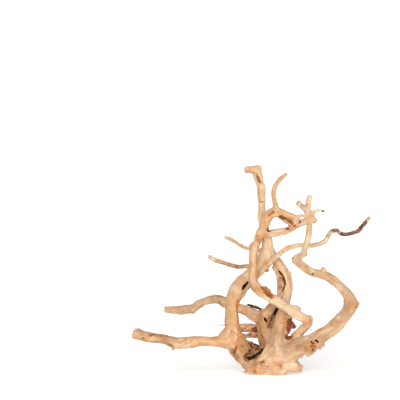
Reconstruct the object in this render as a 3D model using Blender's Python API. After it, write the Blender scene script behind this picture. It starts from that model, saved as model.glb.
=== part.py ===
"""Azalea root: one barkless, branching piece of root wood that stands on its sawn foot.

The root grew as one piece, so it is one solid. Every limb is a tube round a route of hand-placed
points. The tubes are fused into one skin, the crotches are softened, and the slots, the pit and
the flat foot are cut from the fused wood. Millimetres throughout; X runs to the right, Y runs
away from the viewer, Z is up, and the origin is on the sawn foot, which lies at Z = 0.
"""

import math

import bmesh
import bpy
from mathutils import Matrix, Vector, noise

MM = 0.001

# Wood surface
FUSING_GRAIN = 1.3  # size of the cells in which overlapping limbs are fused into one skin
SOFTENING_PASSES = 6  # passes that round the crotches between limbs
SOFTENING_STRENGTH = 0.5
SOLID_FACES = 9450  # triangles left in the solid, before its slots are cut

# Limb shape
RING_SPACING = 2.4  # distance between the rings of a limb
RING_SIDES = 20
TWO_LOBES = 0.07  # how far a limb is from round, as a share of its radius
THREE_LOBES = 0.045
LOBE_TWIST = 0.022  # turns of the lobes per millimetre of limb
GNARL = 0.07  # lumps along a limb, as a share of its radius
GNARL_LENGTH = 11.0  # distance between those lumps

FOOT_DEPTH = 40.0  # the saw cut takes away everything this far below the foot
FOOT_REACH = 300.0

WOOD_COLOUR = (0.80, 0.57, 0.36, 1.0)
WOOD_ROUGHNESS = 0.62

# Routes of the limbs: centre of the limb (x, y, z) and its radius, one point for each change of
# direction or girth. A limb starts and ends inside what it grows from.
LIMBS = {
    # The burl at the foot, with its toes
    "burl": [(4, -6, 18, 16), (20, -6, 24, 20), (36, -9, 30, 19), (50, -13, 40, 15.5)],
    "sole": [(-13, -8, 7, 10), (4, -5, 11, 15), (20, -5, 14, 18), (34, -8, 18, 17)],
    "front_toe": [(30, -9, 17, 15.5), (45, -11, 16, 12.5), (55, -11, 12.5, 9), (64.5, -11, 9, 5)],
    "back_toe": [(6, 4, 14, 15), (10, 17, 9, 12), (12, 28, 6, 9.5)],
    "left_spur": [(-14, -8, 7, 8), (-23, -9, 4.5, 2.7), (-28, -9, 4, 1.5)],
    # The left stem: up from the foot, over to the right and up to the crossing
    "left_stem": [
        (-4, -10, 13, 13), (-14, -11, 16, 13.3), (-23.6, -9, 26, 12.9), (-33.6, -6, 36.7, 15.6),
        (-41.5, -2, 48.6, 16), (-46, 1, 62.5, 13.5), (-48, 4, 78, 11), (-48.5, 6, 94, 10.8),
        (-48, 7, 110, 11), (-45.1, 8, 121, 13.2), (-39.1, 11, 131.7, 15.1), (-32.5, 13, 140.5, 14.4),
        (-23.5, 15, 149, 12.8), (-13.5, 15, 158.5, 11), (-5, 14, 170, 10.2), (2, 11, 180, 9.7),
        (6, 9, 190.5, 9.7), (7.5, 7, 201, 9), (8, 4, 213.5, 8.2), (8, 0, 226, 7),
    ],
    # The front stem: down from the crossing, across the front, round its elbow to the burl
    "front_stem": [
        (-2, -3, 230, 6.8), (-5.5, -7, 221, 6.8), (-8.5, -11, 212.5, 6.5), (-12.5, -14, 204, 8.3),
        (-14, -16, 194, 7.7), (-14.5, -17, 183, 7), (-15, -17, 171, 7.2), (-15, -17, 158, 7.2),
        (-12.7, -17, 146.7, 7.9), (-5.3, -17, 137.3, 8), (3.7, -16.5, 130.9, 8.2), (14, -16, 123.8, 7.9),
        (26, -15, 117, 8), (39, -17, 110, 7.3), (51, -20, 101.5, 7.3), (62, -21, 95.5, 7.1),
        (72, -20, 90, 7.4), (73.6, -18, 84.2, 7), (65.2, -12, 73.9, 7.1), (56, -7, 63.1, 7.4),
        (47.5, -3, 53, 7.8), (38, -1, 42.5, 9),
    ],
    "front_stem_bark": [(-1, -15, 138, 5), (4, -15, 137.6, 6), (11, -15, 132, 5.2)],
    "front_stem_knob": [(46, -17, 106, 5), (53, -17, 108, 5.2), (60, -17, 104.5, 4)],
    "front_stem_corner": [(72, -20, 89.5, 6), (79.6, -20, 95.6, 3.2)],
    "front_stem_nub": [(-13, -14, 205, 6), (-19.8, -13, 210.4, 5)],
    # The right stem: from behind the crossing, round to the right and down into the burl
    "right_stem": [
        (11, 5, 207, 5), (15, 9, 195.5, 6.3), (19.5, 10, 185.5, 7.3), (25.5, 9, 177, 7.7),
        (32.5, 7, 167.5, 7.4), (37.8, 4, 158, 7), (41.2, 2, 148, 6.6), (41.7, 0, 138.5, 6.6),
        (39.8, -1, 128.5, 7), (36.5, -1, 117, 7.8), (33, 0, 106, 9), (29.5, 1, 94, 10),
        (28, 0, 81, 10.8), (25, -1, 67, 12.5), (22, -3, 53, 15), (22, -4, 37, 19),
    ],
    "right_stem_nub": [(42, 3, 161, 4), (46.5, 3, 161.5, 1.6)],
    "inner_strand": [
        (19, 11, 173, 4.5), (24, 11, 165, 4.6), (27.5, 10, 156, 5), (29.5, 9, 146, 5.6),
        (29.5, 9, 137, 5.6), (28.5, 8, 127.5, 5.4), (31, 6, 118, 6),
    ],
    "middle_strand": [
        (27, 3, 119, 7), (17, 5, 107.5, 7.7), (8.2, 6, 95.8, 9.7), (2.5, 5, 82, 11),
        (3, 4, 68, 11.5), (6.5, 3, 55, 12.5), (11, 0, 42.5, 15),
    ],
    "back_strand": [
        (32, 8, 113, 7), (24, 14, 97, 8.5), (19, 15, 82.5, 9), (18, 12, 68, 10), (18, 6, 53, 12),
    ],
    # Struts that grew between the left stem and the middle of the root
    "high_strut": [
        (-44, 10, 106.5, 7), (-34, 14, 102.3, 7), (-24, 15, 98.5, 7.6), (-14, 13, 92.6, 8.8),
        (-3, 9, 87.5, 10),
    ],
    "middle_strut": [
        (-44, 8, 72.5, 6), (-34, 15, 71.8, 6.4), (-22, 18, 71.1, 6.9), (-10, 15, 70.2, 6.8),
        (2, 9, 69.5, 6),
    ],
    "thin_strut": [
        (-40, 6, 60.5, 4), (-31, 11, 59, 3.6), (-20, 13, 59.3, 3.5), (-9, 12, 59.3, 3.8), (1, 8, 59, 4.6),
    ],
    "low_strut": [
        (-40, 5, 52, 7), (-28, 15, 46.8, 6.3), (-16, 19, 40.2, 6.8), (-5, 17, 34.6, 7.6), (6, 10, 32, 10),
    ],
    "pit_floor": [
        (-35, 4, 37, 10), (-23, 14, 28, 11), (-8, 17, 20, 12), (8, 15, 15, 12), (22, 11, 18, 14),
    ],
    "dead_twig": [
        (4, 12, 99, 2), (-3, 17, 102, 1.7), (-9, 20, 104, 1.7), (-16, 22, 106, 1.6), (-24, 24, 108, 1.2),
    ],
    # The right arch: out of the burl, round its knobbly corner and up to the top knot
    "arch": [
        (36, -9, 30, 18), (50, -13, 40, 15.5), (62, -18, 47.4, 14.2), (74, -23, 51.8, 14.4),
        (84, -28, 57.8, 11.9), (94.8, -34, 66.8, 10.5), (106.3, -40, 76.1, 10.6), (117, -45, 85.5, 11),
        (126.5, -49, 97, 10.2), (135.5, -52, 108.5, 10.3), (139.5, -54, 119, 11.3), (137.5, -55, 131, 10),
        (131, -55, 141, 8.4), (121.5, -54, 151, 7.5), (111.5, -52, 159.5, 7.4), (99.5, -50, 166.3, 7.2),
        (88, -47, 169, 6.1), (78, -45, 171.2, 5.9), (68.9, -43, 176.8, 6.1), (58.4, -40, 184.6, 6.3),
        (53.2, -37, 190, 6.3), (58.8, -35, 195, 4.8), (65.3, -33, 198.5, 5), (67, -31, 205.5, 4.8),
        (69.8, -30, 214, 4.5), (72.3, -28, 221.5, 4.6), (73.8, -26, 232, 4.8), (75, -23, 241.5, 4.5),
        (76, -19, 250, 5.2),
    ],
    "arch_wart": [(74, -24, 45, 12), (80.4, -27.6, 38.8, 11.8)],
    "arch_side_nub": [(86, -28, 55, 8.5), (94, -31, 50.6, 6), (97, -32, 48.4, 4.8)],
    "arch_under_nub": [(109, -41, 73, 6.8), (115.4, -43, 69.4, 4.6)],
    "arch_drip": [(60, -17, 38, 7), (63, -18, 29.5, 3)],
    "arch_corner": [(139, -54, 119, 9.5), (148, -55, 119.6, 7), (152, -55, 118, 4.8)],
    "arch_shoulder": [(111, -52, 159.5, 6.4), (117.4, -53, 162.6, 4.6)],
    "arch_thorn": [(98, -50, 167, 6), (96.8, -50, 174.5, 4), (95.6, -50, 180, 2)],
    "arch_heel": [(54, -37, 190.5, 5), (48, -37, 192, 3)],
    "arch_spur": [(65, -33, 198.5, 4), (71.5, -33, 197, 2.4)],
    # The top knot where the arch and the bar meet, with its broken stubs
    "top_knot": [(74.5, -19, 250, 5.2), (77, -18, 254, 6.3), (80, -17, 250, 5.6)],
    "upright_stub": [
        (74.5, -17, 259, 4.8), (73, -16, 271, 4.6), (73.8, -15, 281, 4.3), (76, -14, 289.5, 3.7),
    ],
    "slanting_stub": [
        (74, -17, 260, 4.2), (66.3, -21, 270.3, 4.4), (60, -24, 275.5, 3.9), (57, -26, 281.5, 3),
    ],
    "slanting_stub_spur": [(59, -25, 277, 2.9), (54.5, -26, 278.5, 2.2)],
    "right_twig": [(79, -17, 257, 3.4), (83, -15, 263.8, 2.6), (89, -12, 265.2, 2.2), (99, -8, 263.4, 2.2)],
    "right_knob": [(81, -17, 253, 4.2), (85.5, -16, 246.5, 3.9)],
    "tie_twig": [(74, -19, 256.5, 2.8), (64, -19, 257.5, 2.3), (55, -17, 256, 2.6)],
    # The loop over the crossing and the bar under it
    "loop": [
        (1.5, -1, 231, 8), (4, -3, 241, 7.3), (7, -4, 250, 7.8), (11.4, -5, 256.6, 7.6),
        (17, -7, 261.3, 7.4),
        (24.5, -9, 262, 7.2), (33, -12, 260, 6.1), (42, -14, 256.5, 6), (50, -16, 253, 6.4),
        (56, -17, 248.5, 5.4),
    ],
    "loop_flake": [(25, -8, 257, 3), (33, -8, 251, 3.4), (40, -10, 246.5, 3.6), (47.5, -14, 243, 3.6)],
    "bar": [
        (-2, -3, 229, 6.5), (8, -6, 227.8, 6.2), (19, -9, 228.8, 5.8), (30, -11, 230.7, 5.3),
        (38, -12, 232.3, 4.8), (45, -14, 235.9, 5.1), (51, -15, 240.4, 5.2), (58, -17, 245, 5.1),
        (66, -18, 247.5, 4.7), (75, -19, 251, 5),
    ],
    # The tall upright with its forked head
    "upright": [
        (2, 2, 229, 6.5), (0.7, 6, 239.5, 5.5), (-1, 9, 251, 5.5), (-0.8, 11, 263, 5.5),
        (-0.7, 13, 276, 5.5),
        (-1.3, 15, 288, 5.7), (-1.6, 16, 297.5, 6.4), (-4.3, 18, 306, 6.2), (-6.2, 19, 313.5, 6.9),
        (-8.1, 20, 320.5, 7.5), (-9.7, 20, 326.5, 7.1),
    ],
    "head_left": [
        (-8, 20, 326.5, 6.5), (-17, 18, 326.3, 5.5), (-24.6, 16, 326.8, 5.2), (-27.4, 15, 326.6, 4.5),
    ],
    "head_top": [(-9, 20, 328, 5.5), (-10.5, 20, 332, 4.6)],
    "head_right": [(-5.6, 20, 326, 5), (-2, 20, 332.5, 2.3)],
    "upright_nub": [(-3, 9, 250, 4), (-7.5, 9, 250.5, 1.6)],
    # Twigs
    "curved_twig": [
        (22.5, -9, 263, 5.4), (21.2, -9, 271.5, 4), (19.2, -11, 280.5, 3.6), (17.8, -14, 291, 3.7),
        (19.2, -18, 301.2, 3.8), (22.8, -22, 309.4, 3.6), (27.8, -26, 316.8, 3.4), (33.3, -30, 322.4, 3.1),
        (38.5, -34, 326.5, 2.8),
    ],
    "long_twig": [
        (-5, 5, 157, 3.5), (3, 2, 168, 4.4), (11.5, -1, 177.5, 4.4), (18.5, -3, 185.5, 4.3),
        (25.5, -4, 192, 4.1),
        (33, -3, 198.5, 3.9), (41, 0, 203, 3.7), (50, 4, 205, 3.5), (60, 8, 206.5, 3.2),
        (70, 11, 206, 3.2), (80, 14, 205, 3.2), (90, 17, 206.6, 3), (98, 20, 209.6, 3),
        (103.5, 22, 214, 3.1), (106.5, 24, 220.5, 3), (110, 26, 225, 3), (117, 29, 227.5, 3.1),
        (122, 31, 225.5, 3), (126, 33, 221.5, 3.1), (131, 35, 220, 2.9), (139, 38, 220, 2.8),
        (148, 42, 222, 2.9), (155, 45, 224.5, 3.2), (160, 47, 230.5, 2.9), (167, 50, 238, 2.7),
        (173, 53, 245.5, 2.5),
    ],
    "long_twig_stub": [(3, 2, 169, 4), (10, -2, 167, 3)],
    "upper_left_twig": [
        (6, 8, 197, 3.5), (-5, 8, 198, 2.5), (-14, 8, 199.5, 2.3), (-22, 10, 200.5, 2.3),
        (-30, 14, 202.5, 2.4), (-38, 18, 206.5, 2.4), (-45, 22, 211, 2.5), (-50, 24, 213.5, 2.7),
        (-59, 28, 216, 2.1),
    ],
    "lower_left_twig": [
        (-7, 13, 169, 4.4), (-22, 11, 171.5, 3.5), (-30, 9, 171.5, 3.4), (-38, 6, 171.5, 3.6),
        (-48, 2, 174.5, 3.4), (-58, -2, 178.5, 3.4), (-68, -6, 182, 3.5), (-76, -10, 185.5, 3.5),
        (-84.5, -14, 191, 3.2),
    ],
    # The two limbs that reach out to the left
    "high_left_limb": [
        (-50, 9, 109, 8), (-60, 15, 113.4, 8.8), (-70, 22, 116.8, 8.4), (-80, 29, 115.2, 7.1),
        (-90, 35, 111.5, 6.6), (-100, 41, 106, 6.7), (-110, 46, 98.5, 7), (-120, 51, 95.5, 6.8),
        (-130, 55, 93.5, 6.6), (-140, 59, 93.5, 5.7), (-150, 62, 93.5, 4.9), (-156, 64, 93, 4.3),
    ],
    "high_left_nub": [(-110, 47, 97, 4.5), (-111.2, 46, 89.6, 2.4)],
    "low_left_limb": [
        (-44, -1, 53.5, 14), (-60, -3, 52.2, 10.6), (-72, -6, 53, 8.2), (-86, -10, 54, 7.7),
        (-100, -15, 54.8, 8.5), (-114, -20, 54, 10), (-126, -24, 53.4, 10.1), (-138, -28, 54.2, 10.1),
        (-147, -31, 57.5, 8.9), (-158, -34, 61.6, 7.3), (-170, -37, 63, 7.5), (-182, -40, 65.6, 7.9),
        (-193, -42, 68, 7.4), (-206.2, -44, 70.3, 6.1),
    ],
    "low_left_web": [(-48, 1, 76, 9.5), (-56.3, -1, 67.1, 8.6), (-65.2, -3, 57.7, 6.9)],
    "low_left_nub": [(-140, -28, 49, 5), (-143, -29, 44.5, 2)],
    "torn_lip": [(-189, -41, 70.5, 4), (-196, -42, 76, 1.8), (-200, -42, 79, 1)],
    # The rotten, broken stubs between the right stem and the elbow
    "rotten_stub": [(32, 0, 81, 9), (41.5, -2, 80.5, 8), (48.5, -4, 77.6, 5.6), (53.4, -5, 74.4, 2.3)],
    "rotten_upper": [(34, 0, 92, 8), (43, -2, 91, 5.6), (48, -2, 90, 4)],
    "rotten_lower": [(34, -3, 56, 8), (40, -6, 57, 6.6), (44, -7, 57.4, 4.6)],
    "rotten_middle": [(34, -1, 71, 8.5), (39.4, -2, 69.6, 5.4), (44, -3, 73, 4)],
    # The burl's lip over the pit, and the chipped end of the high limb
    "burl_lip": [
        (10, -13, 50, 5), (6.6, -15.5, 39.8, 5), (1.6, -17.5, 31.4, 5.2), (-6.2, -18.5, 23.8, 5.2),
        (-17, -17, 18, 5),
    ],
    "high_left_lip": [(-150, 62, 94, 4), (-155, 64, 97.5, 2.4)],
    # Sunken wood behind the groove and behind the loop's crevice
    "groove_bed": [
        (26, 8, 166, 4.6), (31.5, 8, 158, 4.6), (34.6, 8, 149, 4.6), (34.4, 7.5, 139, 4.6),
        (32, 7, 128, 4.6),
    ],
    "loop_bed": [(25, -7, 257, 3), (34, -8, 254, 3.4), (42, -11, 249.6, 3.4), (50, -14, 246, 3)],
}

# Slots, cracks and pits cut from the fused wood: centre, half sizes (across, into the wood, along)
# and how far the long side leans from upright, in degrees, towards the right.
HOLLOWS = {
    "left_stem_slot": ((-28, 2, 141.5), (1.5, 9, 8.5), 40),
    "fork_slot_high": ((21.9, -6, 101), (1.5, 15, 8.8), 27),
    "fork_slot_low": ((15.8, -6, 88), (1.8, 15, 9.6), 16),
    "short_slot": ((5.5, -5, 87.5), (1.1, 7, 4.2), -34),
    "groove": ((35.6, 0.5, 150), (1.3, 6, 8.5), -12),
    "groove_high": ((30, 3, 161.5), (1.1, 6, 6), -43),
    "groove_low": ((34.2, 0, 137), (1.0, 5.5, 6), 22),
    "pit": ((-13.5, -20, 35.5), (8, 26, 17.5), 60),
    "crotch_hole": ((11.5, -10, 234), (2.6, 8, 3.2), 0),
    "loop_crevice": ((33.5, -18, 253), (1.5, 5.5, 7), 110),
    "wart_hole_left": ((79.2, -38, 56.6), (1.6, 3.6, 3.5), 118),
    "wart_hole_right": ((86.6, -39, 59.2), (1.4, 3.6, 2.8), 128),
}
HOLLOW_SEGMENTS = 14
HOLLOW_RINGS = 8


def clear_scene():
    for thing in list(bpy.data.objects):
        bpy.data.objects.remove(thing)


def wood_material():
    """Barkless root wood, pale and dry."""
    material = bpy.data.materials.new("azalea_wood")
    material.use_nodes = True
    shader = material.node_tree.nodes["Principled BSDF"]
    shader.inputs["Base Color"].default_value = WOOD_COLOUR
    shader.inputs["Roughness"].default_value = WOOD_ROUGHNESS
    return material


def softening_loss(radius):
    """How much thinner the softening makes a limb of this radius."""
    return SOFTENING_PASSES * SOFTENING_STRENGTH * FUSING_GRAIN**2 / (4 * radius)


def smooth_route(points):
    """Points a ring's distance apart on a smooth curve through the route, with their radii."""
    stops = [Vector(p) for p in points]
    stops = [2 * stops[0] - stops[1]] + stops + [2 * stops[-1] - stops[-2]]
    route = []
    for before, start, end, after in zip(stops, stops[1:], stops[2:], stops[3:]):
        steps = max(2, math.ceil((end.xyz - start.xyz).length / RING_SPACING))
        for step in range(steps):
            t = step / steps
            route.append(
                0.5
                * (
                    2 * start
                    + (end - before) * t
                    + (2 * before - 5 * start + 4 * end - after) * t**2
                    + (3 * start - before - 3 * end + after) * t**3
                )
            )
    return route + [stops[-2]]


def add_limb(skin, points, number):
    """Adds a closed, slightly lobed and lumpy tube along the route to the mesh."""
    route = smooth_route(points)
    phase = number * 1.7
    across = Vector((0.35, -0.87, 0.36))
    run = 0.0
    ring_before = None
    for index, stop in enumerate(route):
        ahead = route[min(index + 1, len(route) - 1)].xyz
        behind = route[max(index - 1, 0)].xyz
        along = (ahead - behind).normalized()
        across = (across - across.dot(along) * along).normalized()
        up = along.cross(across)
        run += (stop.xyz - behind).length
        lump = 1 + GNARL * noise.noise(Vector((run / GNARL_LENGTH, phase, 0)))
        radius = stop.w * lump + softening_loss(stop.w)
        ring = []
        for side in range(RING_SIDES):
            turn = math.tau * side / RING_SIDES
            twist = math.tau * LOBE_TWIST * run * 0.25
            lobes = TWO_LOBES * math.cos(2 * turn + phase + twist)
            lobes += THREE_LOBES * math.cos(3 * turn + 2 * phase - twist)
            reach = radius * (1 + lobes)
            offset = across * math.cos(turn) + up * math.sin(turn)
            ring.append(skin.verts.new((stop.xyz + offset * reach) * MM))
        if ring_before is None:
            skin.faces.new(list(reversed(ring)))
        else:
            for side in range(RING_SIDES):
                after = (side + 1) % RING_SIDES
                skin.faces.new((ring_before[side], ring_before[after], ring[after], ring[side]))
        ring_before = ring
    skin.faces.new(ring_before)


def limb_bundle():
    """One mesh with every limb, still overlapping."""
    skin = bmesh.new()
    for number, points in enumerate(LIMBS.values()):
        add_limb(skin, points, number)
    mesh = bpy.data.meshes.new("azalea_root")
    skin.to_mesh(mesh)
    skin.free()
    root = bpy.data.objects.new("azalea_root", mesh)
    bpy.context.collection.objects.link(root)
    return root


def settle_modifiers(thing):
    """Applies an object's modifiers to its mesh."""
    bpy.context.view_layer.update()
    graph = bpy.context.evaluated_depsgraph_get()
    mesh = bpy.data.meshes.new_from_object(thing.evaluated_get(graph))
    thing.modifiers.clear()
    thing.data = mesh


def fuse(root):
    """Makes one skin of the overlapping limbs and rounds its crotches."""
    remesh = root.modifiers.new("fuse", "REMESH")
    remesh.mode = "VOXEL"
    remesh.voxel_size = FUSING_GRAIN * MM
    soften = root.modifiers.new("soften", "SMOOTH")
    soften.factor = SOFTENING_STRENGTH
    soften.iterations = SOFTENING_PASSES
    settle_modifiers(root)


def keep_one_body(root):
    """Drops any scrap that the fusing left loose."""
    skin = bmesh.new()
    skin.from_mesh(root.data)
    left = set(skin.verts)
    bodies = []
    while left:
        body = {left.pop()}
        edge = set(body)
        while edge:
            edge = {e.other_vert(v) for v in edge for e in v.link_edges} - body
            body |= edge
        left -= body
        bodies.append(body)
    bodies.sort(key=len)
    for body in bodies[:-1]:
        bmesh.ops.delete(skin, geom=list(body), context="VERTS")
    skin.to_mesh(root.data)
    skin.free()


def thin_out(root):
    """Brings the skin down to the solid's number of triangles."""
    triangles = sum(len(face.vertices) - 2 for face in root.data.polygons)
    thin = root.modifiers.new("thin_out", "DECIMATE")
    thin.ratio = SOLID_FACES / triangles
    settle_modifiers(root)


def as_cutter(name, mesh):
    cutter = bpy.data.objects.new(name, mesh)
    cutter.hide_render = True
    cutter.display_type = "WIRE"
    bpy.context.collection.objects.link(cutter)
    return cutter


def hollow_cutter(name, centre, half_sizes, lean):
    """A long, rounded cutter for one slot or pit."""
    shape = bmesh.new()
    place = (
        Matrix.Translation(Vector(centre) * MM)
        @ Matrix.Rotation(math.radians(lean), 4, "Y")
        @ Matrix.Diagonal([s * MM for s in half_sizes] + [1])
    )
    bmesh.ops.create_uvsphere(
        shape, u_segments=HOLLOW_SEGMENTS, v_segments=HOLLOW_RINGS, radius=1, matrix=place
    )
    mesh = bpy.data.meshes.new(name)
    shape.to_mesh(mesh)
    shape.free()
    return as_cutter(name, mesh)


def saw_cutter():
    """Everything below the foot."""
    shape = bmesh.new()
    place = Matrix.Translation((0, 0, -FOOT_DEPTH / 2 * MM)) @ Matrix.Diagonal(
        (2 * FOOT_REACH * MM, 2 * FOOT_REACH * MM, FOOT_DEPTH * MM, 1)
    )
    bmesh.ops.create_cube(shape, size=1, matrix=place)
    mesh = bpy.data.meshes.new("saw_cut")
    shape.to_mesh(mesh)
    shape.free()
    return as_cutter("saw_cut", mesh)


def cut(root, cutter):
    difference = root.modifiers.new(cutter.name, "BOOLEAN")
    difference.operation = "DIFFERENCE"
    difference.solver = "EXACT"
    difference.object = cutter


def main():
    clear_scene()
    root = limb_bundle()
    fuse(root)
    keep_one_body(root)
    thin_out(root)
    for name, (centre, half_sizes, lean) in HOLLOWS.items():
        cut(root, hollow_cutter(name, centre, half_sizes, lean))
    cut(root, saw_cutter())
    root.data.materials.append(wood_material())
    root.data.shade_smooth()


main()
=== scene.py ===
"""Azalea root: the bare wood, its scars, its rotten stubs and its last strips of bark."""

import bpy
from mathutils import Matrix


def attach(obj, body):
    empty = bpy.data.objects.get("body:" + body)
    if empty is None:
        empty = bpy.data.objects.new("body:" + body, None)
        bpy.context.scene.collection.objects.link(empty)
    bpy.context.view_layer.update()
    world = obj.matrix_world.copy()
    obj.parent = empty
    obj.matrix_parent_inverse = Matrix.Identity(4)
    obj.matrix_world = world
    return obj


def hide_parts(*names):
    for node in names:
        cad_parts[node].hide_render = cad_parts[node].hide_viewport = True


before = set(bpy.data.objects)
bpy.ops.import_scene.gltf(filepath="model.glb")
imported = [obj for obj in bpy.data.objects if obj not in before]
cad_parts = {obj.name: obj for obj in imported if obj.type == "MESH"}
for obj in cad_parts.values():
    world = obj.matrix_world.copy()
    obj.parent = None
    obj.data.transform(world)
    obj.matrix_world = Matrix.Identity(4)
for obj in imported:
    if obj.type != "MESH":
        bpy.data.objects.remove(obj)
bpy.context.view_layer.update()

import math

import bmesh
import bpy
import numpy as np
from mathutils import Vector, noise

MM = 0.001

# Camera: degrees above level, metres away, the width of its sensor in mm, and the width and middle
# of the frame at the root, in mm
CAMERA_ELEVATION = 8.0
CAMERA_DISTANCE = 10.0
SENSOR_WIDTH = 36.0
FRAME_WIDTH = 640.0
FRAME_CENTRE = (-99.2, 277.6)

# Light from all round, and soft boxes: from where, how many degrees of the sky, how strong
AMBIENT = 0.5
SOFTBOXES = {
    "key": ((-0.5, -2.4, 1.25), 40, 2.15),
    "fill": ((1.9, -1.4, 0.35), 50, 1.25),
}
FLOOR_RADIUS = 16.0  # m
FLOOR_GAP = 0.4  # mm between the foot and the floor, so that the two faces don't coincide

# Skin of the wood
FUSING_GRAIN = 1.2  # cells in which the overlapping limbs are fused into one skin, in mm
KEPT_TRIANGLES = 0.8  # share that thinning the flattest places leaves of the fused skin
SOFTENING_PASSES = 4
SOFTENING_STRENGTH = 0.5
RING_SPACING = 1.6  # mm
RING_SIDES = 30

# Limb shape, as the solid has it
TWO_LOBES = 0.07  # share of the radius
THREE_LOBES = 0.045
LOBE_TWIST = 0.0055  # turns in each mm along the limb
LOBE_START = 1.7  # radians from the lobes of one limb to those of the next
RING_START = (0.35, -0.87, 0.36)  # the side on which every limb's rings start
GNARL = 0.07  # share of the radius
GNARL_LENGTH = 11.0  # mm

# Relief of the skin, in mm. Flutes and ridges run along the limbs and wind slowly round them: length,
# how many go round, height. Lumps and grit: size, height. Buds: size, height, level they start at.
FLUTES = (46.0, 1.25, 1.35)
RIDGES = (15.0, 3.1, 0.5)
GRAIN_WIND = 0.012  # radians in each mm along the limb
LUMPS = (9.0, 0.85)
GRIT = (3.4, 0.1, 0.22)  # size, height on any limb, further height on a thick one
BUDS = (5.0, 3.2, 0.42, 0.35)  # the last is the most that counts above the level
FORK_CALM = 3.0  # mm from a fork over which flutes fade, as the grain of two limbs meets there
THICK_LIMB = 10.0  # radius that has the full relief, in mm
THICKNESS_SHARES = (0.25, 1.2)  # least and most share of the relief
FOOT_FLAT = 3.0  # mm above the floor over which the relief fades, so that the foot stays flat
BURL_FOLDS = (5.5, 0.95)  # size and height of the folds of the burl
BURL_TOP = 34.0  # mm
BURL_FADE = 12.0  # mm
BURL_SPAN = (-30, 70)  # mm, from left to right
GRAIN_JUMP = 97.0  # mm between the grain of one limb and of the next, so that no two match

# Relief of each kind of mark, in mm: the cover it starts at, its level above the skin, its roughness,
# the size of its lumps, and the seed of their noise
MARK_RELIEF = {
    "rot": (0, -0.3, 1.3, 3.2, 3),
    "bark": (0, 0.25, 0.5, 2.6, 4),
    "scar": (0, -0.4, -0.35, 3.4, 2),
    "knot": (0, 0, 0.45, 4.2, 5),
    "dark": (0.3, -0.8, -1.7, 2.6, 8),
    "hole": (0, -0.5, -0.4, 2.2, 9),
}

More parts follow.
